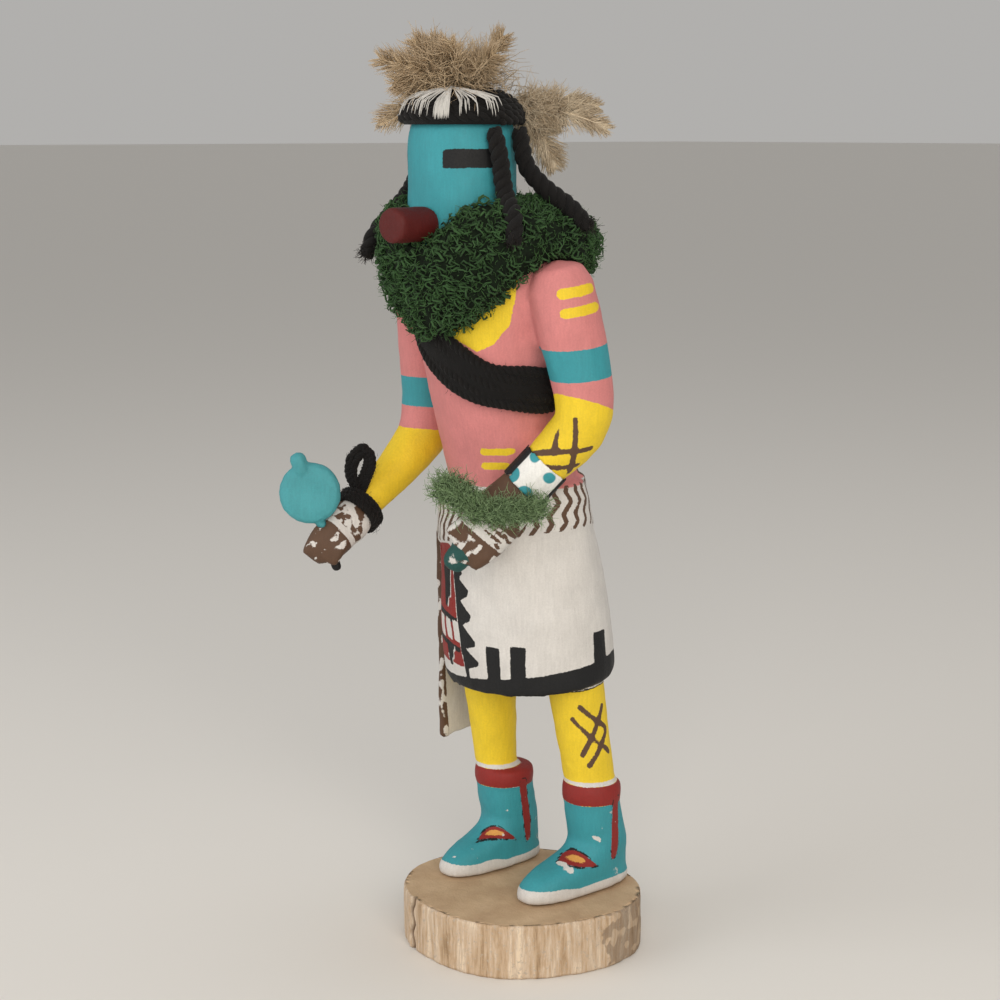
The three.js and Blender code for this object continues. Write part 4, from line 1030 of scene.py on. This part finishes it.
class DOLL_OT_hair(bpy.types.Operator):
    """Winds the black yarn cap and twists its three hanging cords"""

    bl_idname = "doll.hair"
    bl_label = "Yarn hair"

    CORDS = {
        "left_front_braid": [
            (9.2, -19.2, 251.0), (10.4, -18, 243), (10.8, -17.2, 236), (12.6, -17.2, 231), (17.6, -19, 226.4),
            (19.8, -20.8, 219.4)],
        "left_rear_braid": [
            (7.4, -8.0, 250.8), (9.2, -8.4, 244.4), (11, -7.6, 239.4), (14.4, -4.2, 234.2), (19.4, 0.2, 229.2),
            (24.0, 3.7, 223.4)],
        "right_braid": [
            (-27, -14.6, 251.0), (-28.2, -16.4, 243), (-28.8, -18.8, 235), (-31.8, -22.6, 228),
            (-35.6, -27.4, 221), (-37.2, -30.5, 213.8)],
    }

    def execute(self, context):
        sizes = context.scene.doll_sizes
        ply = sizes.ply / MM
        rng = np.random.default_rng(71)
        # Nearly black spun wool that shows its plies, with a faint halo of loose fibres.
        wool = yarn_material("spun_black_wool", linear("#060505"), linear("#141110"))
        wisps = fibre_material("black_wool_wisps", linear("#0a0908"), linear("#2c2826"), linear("#2c2826"))
        for name, rows in self.CORDS.items():
            paths, radius = plied(rows, 90, 3, ply, ply * 0.86, 9.5,
                                  taper=([0, 0.06, 0.88, 1], [0.8, 1, 1.08, 0.86]))
            cord = make_mesh(name + "_yarn", *tubes(paths, radius, 10, rng.uniform(0.3, 0.8, 3)))
            finish_piece(cord, wool, [name])
            tip = np.array(rows[-1])
            aim = unit(tip - np.array(rows[-2]))
            ends = hairs(tip + rng.normal(0, 1.1, (170, 3)) - aim * 1.2, aim + rng.normal(0, 0.45, (170, 3)),
                         rng.uniform(1.2, 3.2, 170), rng, 0.4, 4, 0.11)
            loose = make_mesh(name + "_wisps", *together(fluff(paths, rng, 300, 1.7), ends))
            finish_piece(loose, wisps, [name])

        # The cap is one yarn wound round the head from the brow up, with loose fibres standing off it.
        radius, bottom, top = 18.3, 252.3, 262.4
        rows = []
        turns, per_turn = 7, 40  # windings of the cap, and points in each
        for k in range(turns * per_turn + 1):
            climb = k / (turns * per_turn)
            arc = climb ** 1.05 * math.pi / 2 * 0.93
            reach = (radius - 1.1) * math.cos(arc) ** 0.6
            height = bottom + 1.1 + (top - bottom - 2.0) * math.sin(arc)
            angle = 2 * math.pi * k / per_turn
            rows.append((MIDLINE + reach * math.cos(angle), MASK_AXIS[1] + reach * math.sin(angle),
                         height + 0.25 * math.sin(3 * angle)))
        paths, thick = plied(rows, 1100, 2, 0.98, 0.62, 6.2)
        wound = tubes(paths, thick, 7, [0.45, 0.6])
        # Under the winding lies the cap's solid, shrunk a little and toned dark: painted shade in the gaps between
        # the windings.
        points = solid_of("hair_cap")[0]
        centre = np.array([MIDLINE, MASK_AXIS[1], bottom])
        under = centre + (points - centre) * [0.97, 0.97, 0.93]
        cap = make_mesh("wound_cap", *together(wound, painted_shade_core("hair_cap", 0.2, under)))
        finish_piece(cap, wool, ["hair_cap"])
        loose = make_mesh("cap_wisps", *fluff(paths, rng, 800, 2.0))
        finish_piece(loose, wisps, ["hair_cap"])
        return {"FINISHED"}


# The bandolier's middle line: [degrees from the front, height], right round the body.
BAND_ROUTE = (
    (-30, 203), (-13, 194.5), (2, 187.6), (19, 182.4), (37, 178.6), (55, 176.8), (73, 176.2), (92, 176.2),
    (115, 178), (142, 183), (170, 190.5), (198, 199.5), (225, 207.5), (255, 213.2), (282, 214.6), (308, 210.6),
)


def torso_point(angle, z, out):
    """A point beyond the torso's skin, at an angle from the front."""
    y, _, wide, deep = (np.interp(z, [s[1] for s in TORSO], [s[k] for s in TORSO]) for k in range(4))
    turn = math.radians(angle)
    return (MIDLINE + (wide + out) * math.sin(turn), y - (deep + out) * math.cos(turn), z)


class DOLL_OT_cords(bpy.types.Operator):
    """Lays the bandolier's strands and ties the yarn on the wrist"""

    bl_idname = "doll.cords"
    bl_label = "Bandolier and wrist yarn"

    def execute(self, context):
        sizes = context.scene.doll_sizes
        rng = np.random.default_rng(81)
        # The same black wool, a little deeper, for the band and the wrist.
        wool = yarn_material("spun_black_wool_band", linear("#050404"), linear("#110d0c"))
        wisps = fibre_material("black_band_wisps", linear("#0a0807"), linear("#2e2624"), linear("#2e2624"))
        band = np.array([torso_point(a, z, 1.2) for a, z in BAND_ROUTE])
        skin = np.array([torso_point(a, z, -8) for a, z in BAND_ROUTE])
        middle, inner = curve(band, 240, True), curve(skin, 240, True)
        tangent = unit(np.roll(middle, -1, 0) - np.roll(middle, 1, 0))
        out = middle - inner
        out = unit(out - (out * tangent).sum(1, keepdims=True) * tangent)
        wide = np.cross(tangent, out)
        bunch, bundles = [], 5
        strand = sizes.strand / MM
        for k in range(bundles):
            # The strands wander over each other a little as they go round.
            t = np.linspace(0, 2 * np.pi, 240, endpoint=False)
            slide = (k - 2) * 2.5 + 0.45 * np.sin(t * 5 + k * 1.9)
            rise = 0.1 + 0.35 * np.cos(t * 5 + k * 1.9 + 0.8)
            line = middle + wide * slide[:, None] + out * rise[:, None]
            paths, radius = plied(line[::3], 240, 3, strand * 0.55, strand * 0.5, 5.6, closed=True, phase=k)
            bunch.append((paths, radius))
        parts = [tubes(paths, radius, 6, rng.uniform(0.2, 0.8, 3)) for paths, radius in bunch]
        # Under the strands lies the bandolier's solid, toned dark: painted shade in the gaps between the strands.
        piece = make_mesh("bandolier_strands", *together(*parts, painted_shade_core("bandolier", 0.1)))
        finish_piece(piece, wool, ["bandolier"])
        loose = make_mesh("bandolier_wisps",
                          *fluff(np.concatenate([paths for paths, _ in bunch]), rng, 1500, 1.9, 0.06))
        finish_piece(loose, wisps, ["bandolier"])

        centre = np.array([-40.3, -32.2, 135.6])
        along = unit([0.1, -0.82, -0.56])
        up = unit(np.array([0, 0, 1]) - along[2] * along)
        aside = np.cross(along, up)
        loops = []
        for k in range(3):
            t = np.linspace(0, 2 * np.pi, 24, endpoint=False)
            ring = centre + along * (k - 1) * 1.5 + 6.8 * (np.cos(t)[:, None] * up + np.sin(t)[:, None] * aside)
            loops.append(plied(ring, 90, 3, 0.62, 0.6, 4.2, closed=True, phase=k))
        bow = [(-40.0, -33.0, 141.6), (-41.4, -35.0, 147), (-40.8, -34.4, 152.4), (-38.2, -31.6, 155.4),
               (-37.4, -30.8, 151.2), (-38.6, -32.0, 146.0), (-40.0, -33.0, 142.0)]
        second = [(x + 1.2, y + 0.9, z - 0.4 - 0.06 * (z - 141)) for x, y, z in bow]
        tail = [(-46.2, -34.6, 135), (-46.8, -39.6, 132.4), (-45.8, -44.6, 128.8), (-44.6, -48.2, 123.8)]
        for rows in (bow, second):
            loops.append(plied(rows, 80, 3, 0.72, 0.66, 4.2))
        loops.append(plied(tail, 50, 3, 0.66, 0.6, 4.2))
        parts = [tubes(paths, radius, 6, rng.uniform(0.2, 0.7, 3)) for paths, radius in loops]
        piece = make_mesh("wrist_yarn_strands", *together(*parts))
        finish_piece(piece, wool, ["wrist_yarn"])
        strands = np.concatenate([paths.reshape(-1, 3) for paths, _ in loops])
        loose = make_mesh("wrist_yarn_wisps", *fluff(strands, rng, 800, 1.8, 0.07))
        finish_piece(loose, wisps, ["wrist_yarn"])
        return {"FINISHED"}


class DOLL_OT_evergreen(bpy.types.Operator):
    """Teases out the green yarn that stands for an evergreen sprig"""

    bl_idname = "doll.evergreen"
    bl_label = "Evergreen yarn"

    def execute(self, context):
        rng = np.random.default_rng(91)
        left = [(12.4, -27.2, 142.6), (8.6, -29.8, 145.6), (5.4, -32.0, 148.2), (3.4, -33.8, 149.2)]
        right = [(12.4, -27.2, 142.6), (17.6, -22.8, 142.4), (22.4, -17.8, 143), (25.8, -13.8, 144.4)]
        parts = []
        for rows, spread, count in ((left, 4.2, 2100), (right, 3.4, 1900)):
            line = curve(rows, 60)
            pick = rng.integers(0, 52, count)
            roots = line[pick] + rng.normal(0, spread * 0.42, (count, 3))
            ahead = unit(line[np.minimum(pick + 6, 59)] - line[pick])
            lengths = rng.uniform(3.0, 6.5, count)
            parts.append(hairs(roots, ahead + rng.normal(0, 0.75, (count, 3)), lengths, rng, 0.85, 4, 0.14, 3))
        tuft = make_mesh("evergreen_fibres", *together(*parts))
        # Pale sage-green teased yarn, paler at its tips.
        finish_piece(tuft, fibre_material("teased_green_yarn", linear("#2f4a2c"), linear("#7c9669"),
                                          linear("#8da57c"), 0.9, 0.0, 4.0),
                     ["evergreen_yarn"])
        return {"FINISHED"}


# ---------------------------------------------------------------------------
# Feathers
# ---------------------------------------------------------------------------

CROWN_ROOT = (MIDLINE, MASK_AXIS[1], 262.6)
# Crown feathers: [degrees from the front, reach, rise of the tip, half width].
CROWN_FAN = (
    (-40, 22, 11, 6.5), (-82, 18, 12, 6.2), (-2, 20, 10, 6.2), (-52, 24, -7, 5.6), (-25, 15, 15, 6.4),
    (-65, 21, 4, 6),
    (-18, 20, 4, 6), (140, 12, 17.5, 6), (96, 14, 12, 6), (-165, 14, 12, 5.8), (-120, 13, 14, 6), (30, 12, 15, 6),
    (-60, 10, 17, 6),
)
BACK_FAN = (
    ((-3.2, -1.4, 257), (6.5, 9.5, 257.6), (14.4, 19.6, 251.2), 5.4),
    ((-3.2, -1.4, 257), (1.5, 11, 260), (8, 22.4, 257.4), 5),
    ((-3.2, -1.4, 256), (1.6, 6, 249), (3.4, 9.4, 239.5), 5.6),
    ((-3.2, -1.4, 256), (-6, 9, 256), (-5.6, 19, 252), 4.6),
)


def feather(root, bend, tip, half, rng, barbs, barb, down=0.45, look=(0.766, -0.643, 0.25)):
    """A quill with barbs on both sides, firm towards the tip and downy towards the root."""
    t = np.linspace(0, 1, 14)[:, None]
    quill = (1 - t) ** 2 * np.array(root) + 2 * t * (1 - t) * np.array(bend) + t ** 2 * np.array(tip)
    stem = tubes(quill[None], np.interp(t.ravel(), [0, 1], [0.42, 0.12])[None], 6, [0.95])
    place = rng.uniform(0.04, 1.0, barbs) ** 0.9
    index = place * 13
    low = np.minimum(index.astype(int), 12)
    mix = (index - low)[:, None]
    roots = quill[low] * (1 - mix) + quill[low + 1] * mix
    ahead = unit(quill[low + 1] - quill[low])
    side = unit(np.cross(ahead, look)) * np.sign(rng.normal(size=(barbs, 1)))
    lift = np.cross(side, ahead)
    downy = (place < down)[:, None]
    heading = ahead * np.where(downy, 0.35, 1.0) + side * np.where(downy, 1.0, 0.85) + lift * rng.normal(0,
            np.where(downy, 0.6, 0.2), (barbs, 1))
    lengths = half * np.interp(place, [0, 0.15, 0.55, 0.85, 1], [0.8, 1.25, 1.35, 0.95, 0.5]) * rng.uniform(0.6,
            1.15, barbs)
    wander = np.where(place < down, 0.34, 0.13)[:, None]
    steps, direction, stride = [roots], unit(heading), (lengths / 3)[:, None]
    for _ in range(3):
        direction = unit(direction + rng.normal(0, 1, direction.shape) * wander + ahead * 0.14)
        steps.append(steps[-1] + direction * stride)
    radii = barb * np.interp(np.linspace(0, 1, 4), [0, 0.6, 1], [1, 0.85, 0.3])[None] * rng.uniform(0.7, 1.2,
            (barbs, 1))
    shade = np.clip(0.5 + rng.normal(0, 0.18, barbs) + 0.25 * np.sin(place * 14), 0, 1)
    return together(stem, tubes(np.stack(steps, 1), radii, 3, shade))


class DOLL_OT_feathers(bpy.types.Operator):
    """Builds the crown, back and forehead feathers from quills and barbs"""

    bl_idname = "doll.feathers"
    bl_label = "Feathers"

    def execute(self, context):
        barb = context.scene.doll_sizes.barb / MM
        rng = np.random.default_rng(101)
        # Warm tan-brown down, a pale grey-tan down behind, and cool white barbs over the black cap.
        brown = fibre_material("brown_down_feather", linear("#8a7254"), linear("#cfba9a"), linear("#b8a388"), 0.8,
                               0.0, 7.0)
        pale = fibre_material("pale_grey_feather", linear("#97836a"), linear("#dccfb8"), linear("#c4b196"), 0.8,
                              0.0, 7.0)
        white = fibre_material("white_feather", linear("#8f8c88"), linear("#d2d0cc"), linear("#c4c2bd"), 0.7, 0.0,
                               3.0)

        root = np.array(CROWN_ROOT)
        parts = []
        for turn, reach, rise, half in CROWN_FAN:
            heading = np.array([math.sin(math.radians(turn)), -math.cos(math.radians(turn)), 0])
            tip = root + heading * reach + [0, 0, rise - 3]
            bend = root + heading * reach * 0.55 + [0, 0, 0.4 * rise]
            for _ in range(2):
                jitter = rng.normal(0, 1.3, 3)
                parts.append(feather(root, bend + jitter, tip + jitter * 0.6, half, rng, 200, barb, 0.6,
                                     unit(np.cross(heading, [0, 0, 1]) * 0.4 + [0.766, -0.643, 0.25])))
        crest = make_mesh("crest_feathers", *together(*parts))
        finish_piece(crest, brown, ["crown_feathers"])

        count = 3000
        turn = rng.normal(-0.9, 1.25, count)
        aside = np.column_stack([np.sin(turn), -np.cos(turn), rng.uniform(-0.2, 0.95, count)])
        starts = root + unit(aside) * rng.uniform(0, 14, (count, 1)) + [0, 0, 0.8]
        down = make_mesh("crest_down", *hairs(starts, aside + rng.normal(0, 0.35, (count, 3)),
                                              rng.uniform(5, 12, count), rng, 0.5, 4, 0.12, 3))
        finish_piece(down, brown, ["crown_feathers"])

        parts = []
        for start, bend, tip, half in BACK_FAN:
            for _ in range(2):
                jitter = rng.normal(0, 1.0, 3)
                parts.append(feather(start, np.array(bend) + jitter, np.array(tip) + jitter * 0.5, half, rng, 400,
                                     barb, 0.55))
        roots = np.array([-1, 1.5, 256.5]) + rng.normal(0, 2.2, (900, 3))
        parts.append(hairs(roots, [0.6, 0.9, -0.2] + rng.normal(0, 0.6, (900, 3)), rng.uniform(5, 11, 900), rng,
                           0.5, 4, 0.12))
        back = make_mesh("back_feather_barbs", *together(*parts))
        finish_piece(back, pale, ["back_feathers"])

        # White barbs lie over the yarn cap, tied at the crown: [degrees from the front, half spread, barbs,
        # lowest and highest end, in degrees up the cap].
        paths, shade = [], []
        for turn, spread, number, lowest, highest in (
            (33, 7.0, 44, 2, 9), (-8, 10, 12, 6, 26), (12, 9, 12, 6, 26), (58, 9, 12, 6, 26), (80, 9, 12, 6, 26),
        ):
            for _ in range(number):
                aim = turn + rng.uniform(-spread, spread)
                low = rng.uniform(lowest, highest)
                line = []
                for share in np.linspace(0, 1, 9):
                    climb = math.radians(66 + (low - 66) * share)
                    angle = math.radians(38 + (aim - 38) * min(1, share * 1.7) ** 0.8)
                    size = 19.6 * math.cos(climb) ** 0.6
                    height = 253.3 + 10.4 * math.sin(climb)
                    line.append((MIDLINE + size * math.sin(angle), MASK_AXIS[1] - size * math.cos(angle),
                                 height + rng.normal(0, 0.08)))
                paths.append(line)
                shade.append(rng.random())
        radii = np.interp(np.linspace(0, 1, 9), [0, 0.3, 0.85, 1], [0.12, 0.17, 0.15, 0.04])
        blades = make_mesh("forehead_barbs",
                           *tubes(np.array(paths), radii[None] * np.ones((len(paths), 1)), 4, shade))
        finish_piece(blades, white, ["forehead_feathers"])
        return {"FINISHED"}


# ---------------------------------------------------------------------------
# Stage
# ---------------------------------------------------------------------------

class DOLL_OT_stage(bpy.types.Operator):
    """Sets up the pale floor, the soft lights and the camera"""

    bl_idname = "doll.stage"
    bl_label = "Stage"

    def execute(self, context):
        scene = context.scene
        floor_mesh = bpy.data.meshes.new("floor")
        half = 30.0  # metres: the floor runs to the horizon
        floor_mesh.from_pydata([(-half, -half, 0), (half, -half, 0), (half, half, 0), (-half, half, 0)], [],
                               [(0, 1, 2, 3)])
        floor = bpy.data.objects.new("floor", floor_mesh)
        scene.collection.objects.link(floor)
        material, _, shader, _ = new_material("pale_matt_board")  # A plain, pale, soft ground.
        shader.inputs["Base Color"].default_value = rgba(linear("#e4e1dc"))
        shader.inputs["Roughness"].default_value = 0.9
        floor_mesh.materials.append(material)
        world = bpy.data.worlds.new("soft_room")
        world.use_nodes = True
        world.node_tree.nodes["Background"].inputs["Color"].default_value = rgba(linear("#f1efec"))
        world.node_tree.nodes["Background"].inputs["Strength"].default_value = 0.5
        scene.world = world
        for name, spot, size, power in (
            ("key", (0.8, -0.5, 0.5), 0.7, 6.2), ("fill", (-0.35, -0.95, 0.5), 0.9, 4.2),
            ("top", (0.0, 0.35, 1.2), 0.8, 1.7),
        ):
            light = bpy.data.lights.new(name, "AREA")
            light.size, light.energy = size, power
            light.color = linear("#fff7ec") if name == "key" else (1, 1, 1)
            lamp = bpy.data.objects.new(name, light)
            lamp.location = spot
            lamp.rotation_euler = (Vector((0, 0, 0.14)) - Vector(spot)).to_track_quat("-Z", "Y").to_euler()
            scene.collection.objects.link(lamp)
        lens = bpy.data.cameras.new("camera")
        lens.lens, lens.sensor_width, lens.clip_start = 72, 36, 0.01
        camera = bpy.data.objects.new("camera", lens)
        camera.location = (0.451515, -0.388089, 0.250927)
        azimuth, elevation = math.radians(50), math.radians(10.5)
        ahead = Vector((-math.sin(azimuth) * math.cos(elevation), math.cos(azimuth) * math.cos(elevation),
                        -math.sin(elevation)))
        camera.rotation_euler = ahead.to_track_quat("-Z", "Y").to_euler()
        scene.collection.objects.link(camera)
        scene.camera = camera
        scene.view_settings.view_transform = "Standard"
        return {"FINISHED"}


# ---------------------------------------------------------------------------
# Panel, registration and the build
# ---------------------------------------------------------------------------

OPERATORS = (
    DOLL_OT_stage, DOLL_OT_branch_slice, DOLL_OT_carved_figure, DOLL_OT_wooden_fittings, DOLL_OT_wool_ruff,
    DOLL_OT_hair, DOLL_OT_cords, DOLL_OT_evergreen, DOLL_OT_feathers,
)


class DOLL_PT_panel(bpy.types.Panel):
    """Lists the doll's pieces, paints and sizes"""

    bl_idname = "DOLL_PT_panel"
    bl_label = "Kachina doll"
    bl_space_type = "VIEW_3D"
    bl_region_type = "UI"
    bl_category = "Doll"

    def draw(self, context):
        column = self.layout.column()
        for group in (context.scene.doll_paint, context.scene.doll_sizes):
            for key in group.__annotations__:
                column.prop(group, key)
        for operator in OPERATORS:
            column.operator(operator.bl_idname)


CLASSES = (DollPaint, DollSizes, *OPERATORS, DOLL_PT_panel)


def register():
    for cls in CLASSES:
        bpy.utils.register_class(cls)
    bpy.types.Scene.doll_paint = PointerProperty(type=DollPaint)
    bpy.types.Scene.doll_sizes = PointerProperty(type=DollSizes)


def unregister():
    del bpy.types.Scene.doll_sizes
    del bpy.types.Scene.doll_paint
    for cls in reversed(CLASSES):
        bpy.utils.unregister_class(cls)


def main():
    """Builds every piece in order."""
    register()
    for operator in OPERATORS:
        group, name = operator.bl_idname.split(".")
        getattr(getattr(bpy.ops, group), name)()


if __name__ == "__main__":
    main()
